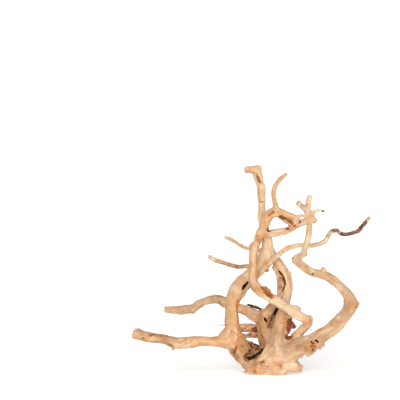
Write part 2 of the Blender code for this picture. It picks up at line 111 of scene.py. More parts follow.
# Routes of the limbs: centre of the limb (x, y, z) and its radius, one point for each change of
# direction or girth. A limb starts and ends inside what it grows from.
LIMBS = {
    # The burl at the foot, with its toes
    "burl": [(4, -6, 18, 16), (20, -6, 24, 20), (36, -9, 30, 19), (50, -13, 40, 15.5)],
    "sole": [(-13, -8, 7, 10), (4, -5, 11, 15), (20, -5, 14, 18), (34, -8, 18, 17)],
    "front_toe": [(30, -9, 17, 15.5), (45, -11, 16, 12.5), (55, -11, 12.5, 9), (64.5, -11, 9, 5)],
    "back_toe": [(6, 4, 14, 15), (10, 17, 9, 12), (12, 28, 6, 9.5)],
    "left_spur": [(-14, -8, 7, 8), (-23, -9, 4.5, 2.7), (-28, -9, 4, 1.5)],
    # The left stem: up from the foot, over to the right and up to the crossing
    "left_stem": [
        (-4, -10, 13, 13), (-14, -11, 16, 13.3), (-23.6, -9, 26, 12.9), (-33.6, -6, 36.7, 15.6),
        (-41.5, -2, 48.6, 16), (-46, 1, 62.5, 13.5), (-48, 4, 78, 11), (-48.5, 6, 94, 10.8),
        (-48, 7, 110, 11), (-45.1, 8, 121, 13.2), (-39.1, 11, 131.7, 15.1), (-32.5, 13, 140.5, 14.4),
        (-23.5, 15, 149, 12.8), (-13.5, 15, 158.5, 11), (-5, 14, 170, 10.2), (2, 11, 180, 9.7),
        (6, 9, 190.5, 9.7), (7.5, 7, 201, 9), (8, 4, 213.5, 8.2), (8, 0, 226, 7),
    ],
    # The front stem: down from the crossing, across the front, round its elbow to the burl
    "front_stem": [
        (-2, -3, 230, 6.8), (-5.5, -7, 221, 6.8), (-8.5, -11, 212.5, 6.5), (-12.5, -14, 204, 8.3),
        (-14, -16, 194, 7.7), (-14.5, -17, 183, 7), (-15, -17, 171, 7.2), (-15, -17, 158, 7.2),
        (-12.7, -17, 146.7, 7.9), (-5.3, -17, 137.3, 8), (3.7, -16.5, 130.9, 8.2), (14, -16, 123.8, 7.9),
        (26, -15, 117, 8), (39, -17, 110, 7.3), (51, -20, 101.5, 7.3), (62, -21, 95.5, 7.1),
        (72, -20, 90, 7.4), (73.6, -18, 84.2, 7), (65.2, -12, 73.9, 7.1), (56, -7, 63.1, 7.4),
        (47.5, -3, 53, 7.8), (38, -1, 42.5, 9),
    ],
    "front_stem_bark": [(-1, -15, 138, 5), (4, -15, 137.6, 6), (11, -15, 132, 5.2)],
    "front_stem_knob": [(46, -17, 106, 5), (53, -17, 108, 5.2), (60, -17, 104.5, 4)],
    "front_stem_corner": [(72, -20, 89.5, 6), (79.6, -20, 95.6, 3.2)],
    "front_stem_nub": [(-13, -14, 205, 6), (-19.8, -13, 210.4, 5)],
    # The right stem: from behind the crossing, round to the right and down into the burl
    "right_stem": [
        (11, 5, 207, 5), (15, 9, 195.5, 6.3), (19.5, 10, 185.5, 7.3), (25.5, 9, 177, 7.7),
        (32.5, 7, 167.5, 7.4), (37.8, 4, 158, 7), (41.2, 2, 148, 6.6), (41.7, 0, 138.5, 6.6),
        (39.8, -1, 128.5, 7), (36.5, -1, 117, 7.8), (33, 0, 106, 9), (29.5, 1, 94, 10),
        (28, 0, 81, 10.8), (25, -1, 67, 12.5), (22, -3, 53, 15), (22, -4, 37, 19),
    ],
    "right_stem_nub": [(42, 3, 161, 4), (46.5, 3, 161.5, 1.6)],
    "inner_strand": [
        (19, 11, 173, 4.5), (24, 11, 165, 4.6), (27.5, 10, 156, 5), (29.5, 9, 146, 5.6),
        (29.5, 9, 137, 5.6), (28.5, 8, 127.5, 5.4), (31, 6, 118, 6),
    ],
    "middle_strand": [
        (27, 3, 119, 7), (17, 5, 107.5, 7.7), (8.2, 6, 95.8, 9.7), (2.5, 5, 82, 11),
        (3, 4, 68, 11.5), (6.5, 3, 55, 12.5), (11, 0, 42.5, 15),
    ],
    "back_strand": [
        (32, 8, 113, 7), (24, 14, 97, 8.5), (19, 15, 82.5, 9), (18, 12, 68, 10), (18, 6, 53, 12),
    ],
    # Struts that grew between the left stem and the middle of the root
    "high_strut": [
        (-44, 10, 106.5, 7), (-34, 14, 102.3, 7), (-24, 15, 98.5, 7.6), (-14, 13, 92.6, 8.8),
        (-3, 9, 87.5, 10),
    ],
    "middle_strut": [
        (-44, 8, 72.5, 6), (-34, 15, 71.8, 6.4), (-22, 18, 71.1, 6.9), (-10, 15, 70.2, 6.8),
        (2, 9, 69.5, 6),
    ],
    "thin_strut": [
        (-40, 6, 60.5, 4), (-31, 11, 59, 3.6), (-20, 13, 59.3, 3.5), (-9, 12, 59.3, 3.8), (1, 8, 59, 4.6),
    ],
    "low_strut": [
        (-40, 5, 52, 7), (-28, 15, 46.8, 6.3), (-16, 19, 40.2, 6.8), (-5, 17, 34.6, 7.6), (6, 10, 32, 10),
    ],
    "pit_floor": [
        (-35, 4, 37, 10), (-23, 14, 28, 11), (-8, 17, 20, 12), (8, 15, 15, 12), (22, 11, 18, 14),
    ],
    "dead_twig": [
        (4, 12, 99, 2), (-3, 17, 102, 1.7), (-9, 20, 104, 1.7), (-16, 22, 106, 1.6), (-24, 24, 108, 1.2),
    ],
    # The right arch: out of the burl, round its knobbly corner and up to the top knot
    "arch": [
        (36, -9, 30, 18), (50, -13, 40, 15.5), (62, -18, 47.4, 14.2), (74, -23, 51.8, 14.4),
        (84, -28, 57.8, 11.9), (94.8, -34, 66.8, 10.5), (106.3, -40, 76.1, 10.6), (117, -45, 85.5, 11),
        (126.5, -49, 97, 10.2), (135.5, -52, 108.5, 10.3), (139.5, -54, 119, 11.3), (137.5, -55, 131, 10),
        (131, -55, 141, 8.4), (121.5, -54, 151, 7.5), (111.5, -52, 159.5, 7.4), (99.5, -50, 166.3, 7.2),
        (88, -47, 169, 6.1), (78, -45, 171.2, 5.9), (68.9, -43, 176.8, 6.1), (58.4, -40, 184.6, 6.3),
        (53.2, -37, 190, 6.3), (58.8, -35, 195, 4.8), (65.3, -33, 198.5, 5), (67, -31, 205.5, 4.8),
        (69.8, -30, 214, 4.5), (72.3, -28, 221.5, 4.6), (73.8, -26, 232, 4.8), (75, -23, 241.5, 4.5),
        (76, -19, 250, 5.2),
    ],
    "arch_wart": [(74, -24, 45, 12), (80.4, -27.6, 38.8, 11.8)],
    "arch_side_nub": [(86, -28, 55, 8.5), (94, -31, 50.6, 6), (97, -32, 48.4, 4.8)],
    "arch_under_nub": [(109, -41, 73, 6.8), (115.4, -43, 69.4, 4.6)],
    "arch_drip": [(60, -17, 38, 7), (63, -18, 29.5, 3)],
    "arch_corner": [(139, -54, 119, 9.5), (148, -55, 119.6, 7), (152, -55, 118, 4.8)],
    "arch_shoulder": [(111, -52, 159.5, 6.4), (117.4, -53, 162.6, 4.6)],
    "arch_thorn": [(98, -50, 167, 6), (96.8, -50, 174.5, 4), (95.6, -50, 180, 2)],
    "arch_heel": [(54, -37, 190.5, 5), (48, -37, 192, 3)],
    "arch_spur": [(65, -33, 198.5, 4), (71.5, -33, 197, 2.4)],
    # The top knot where the arch and the bar meet, with its broken stubs
    "top_knot": [(74.5, -19, 250, 5.2), (77, -18, 254, 6.3), (80, -17, 250, 5.6)],
    "upright_stub": [
        (74.5, -17, 259, 4.8), (73, -16, 271, 4.6), (73.8, -15, 281, 4.3), (76, -14, 289.5, 3.7),
    ],
    "slanting_stub": [
        (74, -17, 260, 4.2), (66.3, -21, 270.3, 4.4), (60, -24, 275.5, 3.9), (57, -26, 281.5, 3),
    ],
    "slanting_stub_spur": [(59, -25, 277, 2.9), (54.5, -26, 278.5, 2.2)],
    "right_twig": [(79, -17, 257, 3.4), (83, -15, 263.8, 2.6), (89, -12, 265.2, 2.2), (99, -8, 263.4, 2.2)],
    "right_knob": [(81, -17, 253, 4.2), (85.5, -16, 246.5, 3.9)],
    "tie_twig": [(74, -19, 256.5, 2.8), (64, -19, 257.5, 2.3), (55, -17, 256, 2.6)],
    # The loop over the crossing and the bar under it
    "loop": [
        (1.5, -1, 231, 8), (4, -3, 241, 7.3), (7, -4, 250, 7.8), (11.4, -5, 256.6, 7.6),
        (17, -7, 261.3, 7.4),
        (24.5, -9, 262, 7.2), (33, -12, 260, 6.1), (42, -14, 256.5, 6), (50, -16, 253, 6.4),
        (56, -17, 248.5, 5.4),
    ],
    "loop_flake": [(25, -8, 257, 3), (33, -8, 251, 3.4), (40, -10, 246.5, 3.6), (47.5, -14, 243, 3.6)],
    "bar": [
        (-2, -3, 229, 6.5), (8, -6, 227.8, 6.2), (19, -9, 228.8, 5.8), (30, -11, 230.7, 5.3),
        (38, -12, 232.3, 4.8), (45, -14, 235.9, 5.1), (51, -15, 240.4, 5.2), (58, -17, 245, 5.1),
        (66, -18, 247.5, 4.7), (75, -19, 251, 5),
    ],
    # The tall upright with its forked head
    "upright": [
        (2, 2, 229, 6.5), (0.7, 6, 239.5, 5.5), (-1, 9, 251, 5.5), (-0.8, 11, 263, 5.5),
        (-0.7, 13, 276, 5.5),
        (-1.3, 15, 288, 5.7), (-1.6, 16, 297.5, 6.4), (-4.3, 18, 306, 6.2), (-6.2, 19, 313.5, 6.9),
        (-8.1, 20, 320.5, 7.5), (-9.7, 20, 326.5, 7.1),
    ],
    "head_left": [
        (-8, 20, 326.5, 6.5), (-17, 18, 326.3, 5.5), (-24.6, 16, 326.8, 5.2), (-27.4, 15, 326.6, 4.5),
    ],
    "head_top": [(-9, 20, 328, 5.5), (-10.5, 20, 332, 4.6)],
    "head_right": [(-5.6, 20, 326, 5), (-2, 20, 332.5, 2.3)],
    "upright_nub": [(-3, 9, 250, 4), (-7.5, 9, 250.5, 1.6)],
    # Twigs
    "curved_twig": [
        (22.5, -9, 263, 5.4), (21.2, -9, 271.5, 4), (19.2, -11, 280.5, 3.6), (17.8, -14, 291, 3.7),
        (19.2, -18, 301.2, 3.8), (22.8, -22, 309.4, 3.6), (27.8, -26, 316.8, 3.4), (33.3, -30, 322.4, 3.1),
        (38.5, -34, 326.5, 2.8),
    ],
    "long_twig": [
        (-5, 5, 157, 3.5), (3, 2, 168, 4.4), (11.5, -1, 177.5, 4.4), (18.5, -3, 185.5, 4.3),
        (25.5, -4, 192, 4.1),
        (33, -3, 198.5, 3.9), (41, 0, 203, 3.7), (50, 4, 205, 3.5), (60, 8, 206.5, 3.2),
        (70, 11, 206, 3.2), (80, 14, 205, 3.2), (90, 17, 206.6, 3), (98, 20, 209.6, 3),
        (103.5, 22, 214, 3.1), (106.5, 24, 220.5, 3), (110, 26, 225, 3), (117, 29, 227.5, 3.1),
        (122, 31, 225.5, 3), (126, 33, 221.5, 3.1), (131, 35, 220, 2.9), (139, 38, 220, 2.8),
        (148, 42, 222, 2.9), (155, 45, 224.5, 3.2), (160, 47, 230.5, 2.9), (167, 50, 238, 2.7),
        (173, 53, 245.5, 2.5),
    ],
    "long_twig_stub": [(3, 2, 169, 4), (10, -2, 167, 3)],
    "upper_left_twig": [
        (6, 8, 197, 3.5), (-5, 8, 198, 2.5), (-14, 8, 199.5, 2.3), (-22, 10, 200.5, 2.3),
        (-30, 14, 202.5, 2.4), (-38, 18, 206.5, 2.4), (-45, 22, 211, 2.5), (-50, 24, 213.5, 2.7),
        (-59, 28, 216, 2.1),
    ],
    "lower_left_twig": [
        (-7, 13, 169, 4.4), (-22, 11, 171.5, 3.5), (-30, 9, 171.5, 3.4), (-38, 6, 171.5, 3.6),
        (-48, 2, 174.5, 3.4), (-58, -2, 178.5, 3.4), (-68, -6, 182, 3.5), (-76, -10, 185.5, 3.5),
        (-84.5, -14, 191, 3.2),
    ],
    # The two limbs that reach out to the left
    "high_left_limb": [
        (-50, 9, 109, 8), (-60, 15, 113.4, 8.8), (-70, 22, 116.8, 8.4), (-80, 29, 115.2, 7.1),
        (-90, 35, 111.5, 6.6), (-100, 41, 106, 6.7), (-110, 46, 98.5, 7), (-120, 51, 95.5, 6.8),
        (-130, 55, 93.5, 6.6), (-140, 59, 93.5, 5.7), (-150, 62, 93.5, 4.9), (-156, 64, 93, 4.3),
    ],
    "high_left_nub": [(-110, 47, 97, 4.5), (-111.2, 46, 89.6, 2.4)],
    "low_left_limb": [
        (-44, -1, 53.5, 14), (-60, -3, 52.2, 10.6), (-72, -6, 53, 8.2), (-86, -10, 54, 7.7),
        (-100, -15, 54.8, 8.5), (-114, -20, 54, 10), (-126, -24, 53.4, 10.1), (-138, -28, 54.2, 10.1),
        (-147, -31, 57.5, 8.9), (-158, -34, 61.6, 7.3), (-170, -37, 63, 7.5), (-182, -40, 65.6, 7.9),
        (-193, -42, 68, 7.4), (-206.2, -44, 70.3, 6.1),
    ],
    "low_left_web": [(-48, 1, 76, 9.5), (-56.3, -1, 67.1, 8.6), (-65.2, -3, 57.7, 6.9)],
    "low_left_nub": [(-140, -28, 49, 5), (-143, -29, 44.5, 2)],
    "torn_lip": [(-189, -41, 70.5, 4), (-196, -42, 76, 1.8), (-200, -42, 79, 1)],
    # The rotten, broken stubs between the right stem and the elbow
    "rotten_stub": [(32, 0, 81, 9), (41.5, -2, 80.5, 8), (48.5, -4, 77.6, 5.6), (53.4, -5, 74.4, 2.3)],
    "rotten_upper": [(34, 0, 92, 8), (43, -2, 91, 5.6), (48, -2, 90, 4)],
    "rotten_lower": [(34, -3, 56, 8), (40, -6, 57, 6.6), (44, -7, 57.4, 4.6)],
    "rotten_middle": [(34, -1, 71, 8.5), (39.4, -2, 69.6, 5.4), (44, -3, 73, 4)],
    # The burl's lip over the pit, and the chipped end of the high limb
    "burl_lip": [
        (10, -13, 50, 5), (6.6, -15.5, 39.8, 5), (1.6, -17.5, 31.4, 5.2), (-6.2, -18.5, 23.8, 5.2),
        (-17, -17, 18, 5),
    ],
    "high_left_lip": [(-150, 62, 94, 4), (-155, 64, 97.5, 2.4)],
    # Sunken wood behind the groove and behind the loop's crevice
    "groove_bed": [
        (26, 8, 166, 4.6), (31.5, 8, 158, 4.6), (34.6, 8, 149, 4.6), (34.4, 7.5, 139, 4.6),
        (32, 7, 128, 4.6),
    ],
    "loop_bed": [(25, -7, 257, 3), (34, -8, 254, 3.4), (42, -11, 249.6, 3.4), (50, -14, 246, 3)],
}

# Slots, cracks and pits cut from the fused wood: centre, half sizes (across, into the wood, along)
# and how far the long side leans from upright, in degrees, towards the right.
HOLLOWS = {
    "left_stem_slot": ((-28, 2, 141.5), (1.5, 9, 8.5), 40),
    "fork_slot_high": ((21.9, -6, 101), (1.5, 15, 8.8), 27),
    "fork_slot_low": ((15.8, -6, 88), (1.8, 15, 9.6), 16),
    "short_slot": ((5.5, -5, 87.5), (1.1, 7, 4.2), -34),
    "groove": ((35.6, 0.5, 150), (1.3, 6, 8.5), -12),
    "groove_high": ((30, 3, 161.5), (1.1, 6, 6), -43),
    "groove_low": ((34.2, 0, 137), (1.0, 5.5, 6), 22),
    "pit": ((-13.5, -20, 35.5), (8, 26, 17.5), 60),
    "crotch_hole": ((11.5, -10, 234), (2.6, 8, 3.2), 0),
    "loop_crevice": ((33.5, -18, 253), (1.5, 5.5, 7), 110),
    "wart_hole_left": ((79.2, -38, 56.6), (1.6, 3.6, 3.5), 118),
    "wart_hole_right": ((86.6, -39, 59.2), (1.4, 3.6, 2.8), 128),
}
HOLLOW_SEGMENTS = 24
HOLLOW_RINGS = 16

# Stains and scars on the skin: centre, half sizes (across, into the wood, along), how far the long
# side leans to the right of upright in degrees, and strength.
SCARS = {
    "front_stem_bark": ((12, -23, 134), (1.7, 8, 7), -41, 0.62),
    "front_stem_chip": ((2, -22, 140), (2.4, 8, 2), 60, 0.8),
    "front_stem_dot": ((-3, -24, 142.5), (1.1, 5, 1.6), 0, 0.8),
    "front_stem_spot": ((12, -24, 122), (1.8, 4, 2.0), 0, 0.8),
    "front_stem_side": ((-20.5, -20, 186), (1.5, 4, 2.0), 0, 0.8),
    "loop_top": ((16.5, -13, 262), (2.2, 6, 4), 60, 1.0),
    "loop_top_tail": ((11.5, -12, 258), (1.6, 6, 4.6), 42, 0.75),
    "bar_first": ((40, -17, 236.5), (2.4, 4, 3.6), 100, 1.0),
    "bar_second": ((51, -20, 241), (2.2, 4, 2.8), 75, 0.95),
    "bar_third": ((59.5, -21, 248), (2.0, 4, 3.6), 12, 0.9),
    "loop_pocket": ((34, -17, 254.5), (2.6, 6, 9), 116, 1.0),
    "loop_pocket_end": ((46, -18, 247), (2, 6, 5), 122, 0.8),
    "upright_stain": ((-6, 12, 312.6), (3.2, 8, 8.5), -24, 0.85),
    "upright_crack": ((-1, 8, 276.4), (4.4, 6, 1.3), -8, 1.0),
    "foot_left": ((-42.4, -16, 42.4), (3.0, 9, 7.6), 24, 1.0),
    "foot_left_low": ((-45, -15, 36), (2.6, 9, 4.2), -30, 1.0),
    "arch_heel": ((48, -40, 192.5), (1.5, 4, 1.8), 0, 1.0),
    "arch_pit": ((80.5, -51, 169), (2.2, 5, 2.4), 0, 1.0),
    "low_limb_scar": ((-177.6, -44, 69.8), (2.6, 7, 4), 80, 1.0),
    "low_limb_knot": ((-190, -48, 65.2), (2.2, 6, 1.8), -40, 1.0),
    "low_limb_under": ((-150, -36, 52), (1.2, 7, 6), 84, 0.8),
    "wart_brown": ((78.9, -38, 50.4), (3.2, 9, 3.0), 60, 1.0),
    "strut_dark": ((-10, 9, 69), (4, 7, 4.6), 60, 1.0),
    "strut_dark_left": ((-32, 10, 72), (3, 7, 3.6), 20, 0.7),
    "high_strut_under": ((-12, 6, 88), (2, 7, 10), 112, 0.6),
    "lower_twig_under": ((-30, 8, 168.6), (1.7, 5, 9), 92, 0.85),
    "lower_twig_mid": ((-54, -1, 175), (1.3, 4, 8), 78, 0.7),
    "lower_twig_far": ((-76, -12, 184), (1.2, 4, 5), 72, 0.55),
    "upper_twig": ((-42, 18, 208), (1.2, 4, 5), 60, 0.45),
    "right_twig_tip": ((97.6, -8, 263.4), (3.8, 7, 3.6), 0, 1.0),
    "knot_spots": ((71, -24, 254), (1.4, 4, 2.2), 60, 0.6),
    "knot_end": ((86, -18, 246), (2.6, 4, 2.0), 20, 0.75),
    "right_stem_low": ((32, -12, 72), (2.2, 8, 8), 10, 0.4),
    "left_stem_edge": ((-37.6, -1, 100), (1.3, 8, 14), 2, 0.42),
    "bark_patch_core": ((8, -23, 133.6), (4.2, 10, 13), -46, 0.95),
    "pit_rim": ((-27, -12, 31), (4, 14, 9), -20, 0.6),
    "low_limb_knot_under": ((-146, -36, 51.4), (2.4, 10, 2.0), 0, 1.0),
    "strut_end": ((-12, 9, 69.6), (4, 10, 6), 96, 1.0),
    "left_stem_low": ((-38, -9, 62), (2.4, 9, 11), -10, 0.6),
    "left_stem_band": ((-40, 0, 112), (4, 8, 0.9), 20, 0.5),
    "stub_spot": ((8, -5, 167), (2.2, 4, 2), 60, 0.95),
    "elbow_chip": ((76, -24, 76), (1.6, 5, 2.2), 20, 0.5),
    "trunk_nick": ((33, -24, 42), (1.0, 5, 2.0), 100, 0.6),
    "trunk_nick_right": ((52, -28, 45), (1.0, 5, 2.2), 110, 0.5),
    "low_limb_scar_tail": ((-171, -43, 70.2), (1.8, 6, 3.6), 80, 0.9),
    "low_limb_spot": ((-174, -44, 63.1), (1.6, 6, 1.6), 0, 0.85),
    "low_limb_spot_near": ((-168.5, -42, 59.4), (1.6, 6, 1.8), 0, 0.85),
}
# Orange-brown wood round knots, where a rootlet was cut off, and along worn edges
KNOTS = {
    "burl_knot_high": ((-1, -27, 20.4), (5, 12, 7), 40, 1.0),
    "burl_knot_right": ((30, -30, 14.6), (4.2, 12, 6.4), -20, 1.0),
    "burl_knot_left": ((-12, -22, 8), (5, 9, 3.4), 70, 1.0),
    "burl_knot_mid": ((14, -28, 12), (3, 8, 2.4), 10, 0.45),
    "low_limb_tint": ((-120, -33, 57), (5, 8, 12), 85, 0.6),
    "low_limb_tint_end": ((-184, -46, 66), (5, 8, 9), 80, 0.6),
    "arch_tint": ((98, -56, 168), (4, 8, 5), 10, 0.6),
    "arch_side_tint": ((117, -50, 92), (4, 12, 16), 40, 0.45),
    "arch_corner_tint": ((150, -62, 120), (5, 9, 6), 10, 0.7),
    "arch_thorn_tint": ((96, -52, 177), (3, 6, 4), 0, 0.6),
    "upright_tint": ((-2, 8, 270), (4, 8, 14), 0, 0.35),
    "upright_head_tint": ((-20, 14, 327), (5, 8, 4), 0, 0.5),
    "curved_twig_tint": ((20, -14, 295), (3, 8, 14), 0, 0.4),
    "loop_tint": ((5, -11, 243), (3.4, 8, 10), 8, 0.5),
    "crossing_tint": ((-5, -11, 218), (5, 9, 9), -20, 0.9),
    "bar_tint": ((48, -18, 240), (5, 6, 14), 65, 0.65),
    "front_side_tint": ((-20, -18, 200), (3, 8, 8), 0, 0.6),
    "twig_tint": ((30, -8, 196), (4, 6, 10), 50, 0.5),
    "left_stem_tint": ((-47, -8, 72), (5, 8, 14), -2, 0.5),
    "left_stem_right_side": ((-38, -2, 84), (3, 9, 26), 0, 0.7),
    "left_stem_foot_tint": ((-43, -12, 50), (6, 9, 9), -20, 0.7),
    "left_stem_right_side_high": ((-39, -4, 106), (3, 10, 20), 0, 0.7),
    "foot_inside_tint": ((-33, -10, 62), (7, 14, 18), 10, 0.65),
    "by_the_rot_tint": ((38, -12, 84), (6, 14, 14), 0, 0.75),
    "elbow_tint": ((74, -24, 88), (4, 8, 6), 20, 0.7),
    "elbow_stub_tint": ((74, -22, 76), (3, 8, 5), 30, 0.6),
    "wart_tint": ((77.5, -36, 45), (5, 14, 8.5), 8, 0.7),
    "bark_patch": ((11, -22, 134), (5, 9, 12), -41, 1.0),
    "bark_patch_left": ((-4, -23, 141), (4, 9, 7), -60, 0.7),
    "trunk_edge_tint": ((34, -12, 84), (3, 9, 12), 0, 0.55),
}
# Grey, ashy wood on the stubs and the top knot, and painted shade: greyer and darker in the hollows,
# in the middle of the root, behind the elbow and on the undersides
ASH_AND_PAINTED_SHADE = {
    "pit_side": ((-32, -18, 26), (6, 12, 8), -40, 0.7),
    "centre": ((14, -12, 64), (12, 16, 22), 8, 0.7),
    "behind_elbow": ((34, -10, 96), (8, 12, 7), 10, 0.5),
    "trunk_front": ((24, -16, 52), (12, 12, 12), 20, 0.5),
    "arch_top": ((62, -24, 58), (5, 10, 18), 62, 0.6),
    "slanting_stub": ((65, -22, 272), (8, 8, 8), 0, 0.8),
    "top_knot": ((76, -20, 256), (7, 8, 6), 0, 0.6),
    "loop_flake": ((36, -12, 246), (4, 8, 12), 118, 0.7),
    "arch_vertical": ((71, -30, 205), (6, 8, 14), 10, 0.5),
    "arch_elbow": ((60, -42, 184), (9, 9, 8), -40, 0.5),
    "high_limb": ((-86, 30, 112), (12, 14, 30), 95, 0.5),
    "upright_side": ((-7, 10, 285), (2.5, 8, 22), 0, 0.5),
    "burl_right": ((56, -16, 16), (8, 12, 10), 80, 0.4),
}
# Dull olive-brown wood: painted shade in the hollows, between the limbs and on their shaded sides,
# and olive-brown stain in spots along the limbs
UMBER_AND_PAINTED_SHADE = {
    "left_wall": ((-30, -12, 42), (9, 18, 18), -14, 0.95),
    "left_wall_edge": ((-22, -8, 42), (6, 18, 13), -34, 1.0),
    "slot_side": ((10, -8, 86), (3.6, 11, 12), 14, 0.9),
    "left_of_slots": ((-4, -3, 88), (8, 12, 11), 0, 0.8),
    "left_wall_low": ((-28, -16, 31), (8, 14, 12), -30, 0.8),
    "pit": ((-12, 4, 34), (10, 12, 12), 60, 0.35),
    "middle_left": ((0, -2, 60), (8, 14, 22), 4, 0.75),
    "middle_low": ((6, -12, 50), (3.4, 10, 12), 6, 0.55),
    "beside_slot": ((9, -8, 92), (3.6, 12, 9), 10, 0.6),
    "right_of_slot": ((28, -12, 99), (4.6, 10, 9), 12, 0.6),
    "top_of_trunk": ((11, -4, 105), (12, 10, 7), 0, 0.6),
    "by_the_rot": ((36, -10, 80), (3.4, 10, 12), 4, 0.7),
    "pit_rim": ((-26, -12, 31), (5, 14, 10), -20, 1.0),
    "high_strut": ((-22, 6, 96), (5, 12, 18), 112, 0.4),
    "loop_inside": ((27, -10, 254), (2, 8, 10), 108, 0.5),
    "crossing": ((8, -2, 214), (4, 10, 8), 0, 0.4),
    "slant": ((62, -24, 275), (4, 8, 7), -40, 0.5),
    "low_limb_top": ((-148, -30, 63), (3, 12, 20), 84, 0.5),
    "low_limb_olive": ((-183.6, -46, 65.4), (2.2, 7, 5), 85, 0.8),
    "high_limb_top": ((-66, 20, 121), (3, 12, 20), 84, 0.5),
    "right_arch_under": ((120, -44, 84), (3, 14, 22), 46, 0.4),
    "arch_low_spot": ((61, -26, 49), (6, 20, 9), 75, 0.6),
    "arch_middle_spot": ((116, -48, 88), (6, 16, 9), 40, 0.6),
    "arch_right_spot": ((138, -56, 122), (5, 14, 12), 0, 0.5),
    "low_limb_spot": ((-163, -38, 58), (6, 14, 11), 84, 0.7),
    "inner_strand": ((28, 3, 147), (4, 12, 15), 6, 0.6),
    "burl_left_spot": ((-27, -18, 15), (7, 14, 8), -50, 0.6),
    "burl_left_edge": ((-42, -14, 34), (8, 18, 13), -40, 0.85),
    "below_the_pit": ((-11, -24, 23), (14, 14, 7), -66, 0.85),
    "front_stem_high": ((-16, -22, 205), (4, 9, 9), 0, 0.5),
    "loop_back": ((47, -18, 252.5), (10, 10, 5), 20, 0.8),
    "low_limb_brown": ((-160, -36, 58), (12, 16, 20), 84, 0.65),
    "pit_wall": ((-32, -8, 37), (6, 14, 8), -30, 0.7),
    "lower_left_twig": ((-52, -1, 179), (36, 20, 14), 0, 0.7),
    "loop_top": ((14, -12, 262), (8, 9, 4), -40, 0.6),
    "twig_foot": ((20, -4, 186), (7, 9, 7), 40, 0.7),
    "trunk_left_edge": ((3, -8, 58), (7, 18, 18), 0, 1.0),
    "wart": ((75, -34, 49), (10, 16, 10), 0, 0.8),
    "high_limb_root": ((-63, 12, 114), (7, 12, 7), 0, 0.7),
    "low_limb_middle": ((-146, -32, 51), (7, 12, 7), 0, 0.8),
    "arch_shoulder": ((73, -47, 171), (16, 14, 6), 52, 0.7),
    "arch_inside": ((127, -52, 137), (6, 14, 16), -20, 0.55),
}
# Honey-coloured wood, where the bark came off last
HONEY = {
    "left_stem": ((-46, -4, 104), (11, 20, 34), 0, 0.9),
    "left_stem_bend": ((-30, 2, 144), (12, 20, 16), 40, 0.8),
    "left_stem_foot": ((-38, -14, 44), (11, 20, 14), -30, 1.0),
    "front_stem": ((-14, -22, 178), (9, 12, 40), 0, 0.7),
    "crossing": ((0, -10, 222), (11, 14, 14), 0, 1.0),
    "loop": ((30, -10, 256), (32, 14, 14), 0, 1.4),
    "bar": ((40, -16, 236), (26, 12, 9), 70, 0.9),
    "top_knot": ((80, -18, 252), (12, 12, 8), 0, 0.6),
    "low_limb": ((-92, -16, 55), (30, 18, 12), 0, 1.2),
    "elbow": ((70, -24, 86), (10, 14, 12), 0, 0.9),
    "burl_front": ((20, -26, 12), (30, 14, 10), 90, 0.6),
    "burl_low_left": ((-8, -22, 8), (16, 14, 8), 0, 1.1),
    "arch_corner": ((146, -56, 120), (9, 14, 12), 0, 0.8),
    "arch_shoulder": ((100, -52, 168), (22, 12, 8), 80, 0.6),
    "long_twig": ((60, 4, 204), (40, 14, 8), 0, 0.6),
    "left_twigs": ((-52, 6, 190), (40, 40, 30), 0, 0.3),
    "foot_inside": ((-30, -8, 52), (11, 20, 30), 0, 1.5),
    "front_stem_bend": ((-4, -22, 141), (14, 14, 12), -50, 1.2),
    "low_limb_shoulder": ((-66, -10, 56), (14, 16, 12), 0, 1.0),
    "twig_foot": ((6, 2, 172), (14, 12, 12), 40, 1.2),
    "trunk_middle": ((18, -10, 88), (25, 18, 26), 0, 1.2),
    "front_stem_right": ((-8, -16, 178), (7, 14, 34), 0, 1.0),
    "right_stem": ((34, -2, 158), (12, 16, 36), -14, 0.4),
    "curved_twig": ((24, -18, 300), (14, 24, 36), 0, 0.8),
    "middle_strut": ((-24, 14, 72), (18, 12, 5), 0, 0.7),
    "wart": ((78, -36, 45), (10, 16, 13), 8, 1.5),
    "left_stem_side": ((-38, -4, 86), (6, 14, 40), 0, 0.8),
    "foot_left": ((-46, -12, 58), (9, 18, 10), 0, 0.9),
    "slot_left": ((8, -6, 88), (5, 12, 14), 12, 1.0),
    "high_strut": ((-26, 8, 98), (6, 12, 16), 112, 0.8),
    "loop_left": ((4, -10, 242), (7, 12, 14), 0, 0.9),
}
# Broad, browner stretches of the limbs, which take in half of their width; in the middle of the root
# and on the burl's left side they are painted shade
VEIL_AND_PAINTED_SHADE = {
    "arch_low": ((92, -34, 68), (26, 40, 20), 60, 0.6),
    "arch_start": ((62, -24, 50), (10, 22, 18), 70, 1.0),
    "arch_bend": ((117, -48, 91), (9, 20, 14), 40, 1.0),
    "inner_strand": ((29, 4, 147), (5, 12, 21), 4, 1.0),
    "burl_side": ((-26, -18, 17), (9, 14, 14), -40, 1.0),
    "burl_right": ((40, -24, 42), (11, 18, 16), 60, 0.8),
    "front_stem_foot": ((-14, -20, 144), (7, 9, 11), -30, 0.9),
    "high_strut": ((-18, 8, 93), (6, 12, 16), 112, 0.8),
    "arch_vertical_foot": ((57, -42, 187), (9, 12, 9), 0, 0.7),
    "arch_side": ((138, -52, 122), (20, 40, 34), 0, 0.75),
    "arch_top": ((100, -50, 168), (34, 40, 14), 90, 0.7),
    "low_limb": ((-170, -36, 60), (44, 40, 22), 0, 0.85),
    "high_limb": ((-105, 42, 108), (64, 60, 26), 0, 0.85),
    "left_stem_left": ((-60, -4, 98), (6, 18, 42), 0, 0.8),
    "middle": ((8, -6, 72), (30, 26, 44), 0, 0.9),
    "burl_left": ((-14, -16, 20), (16, 26, 14), 0, 0.5),
}
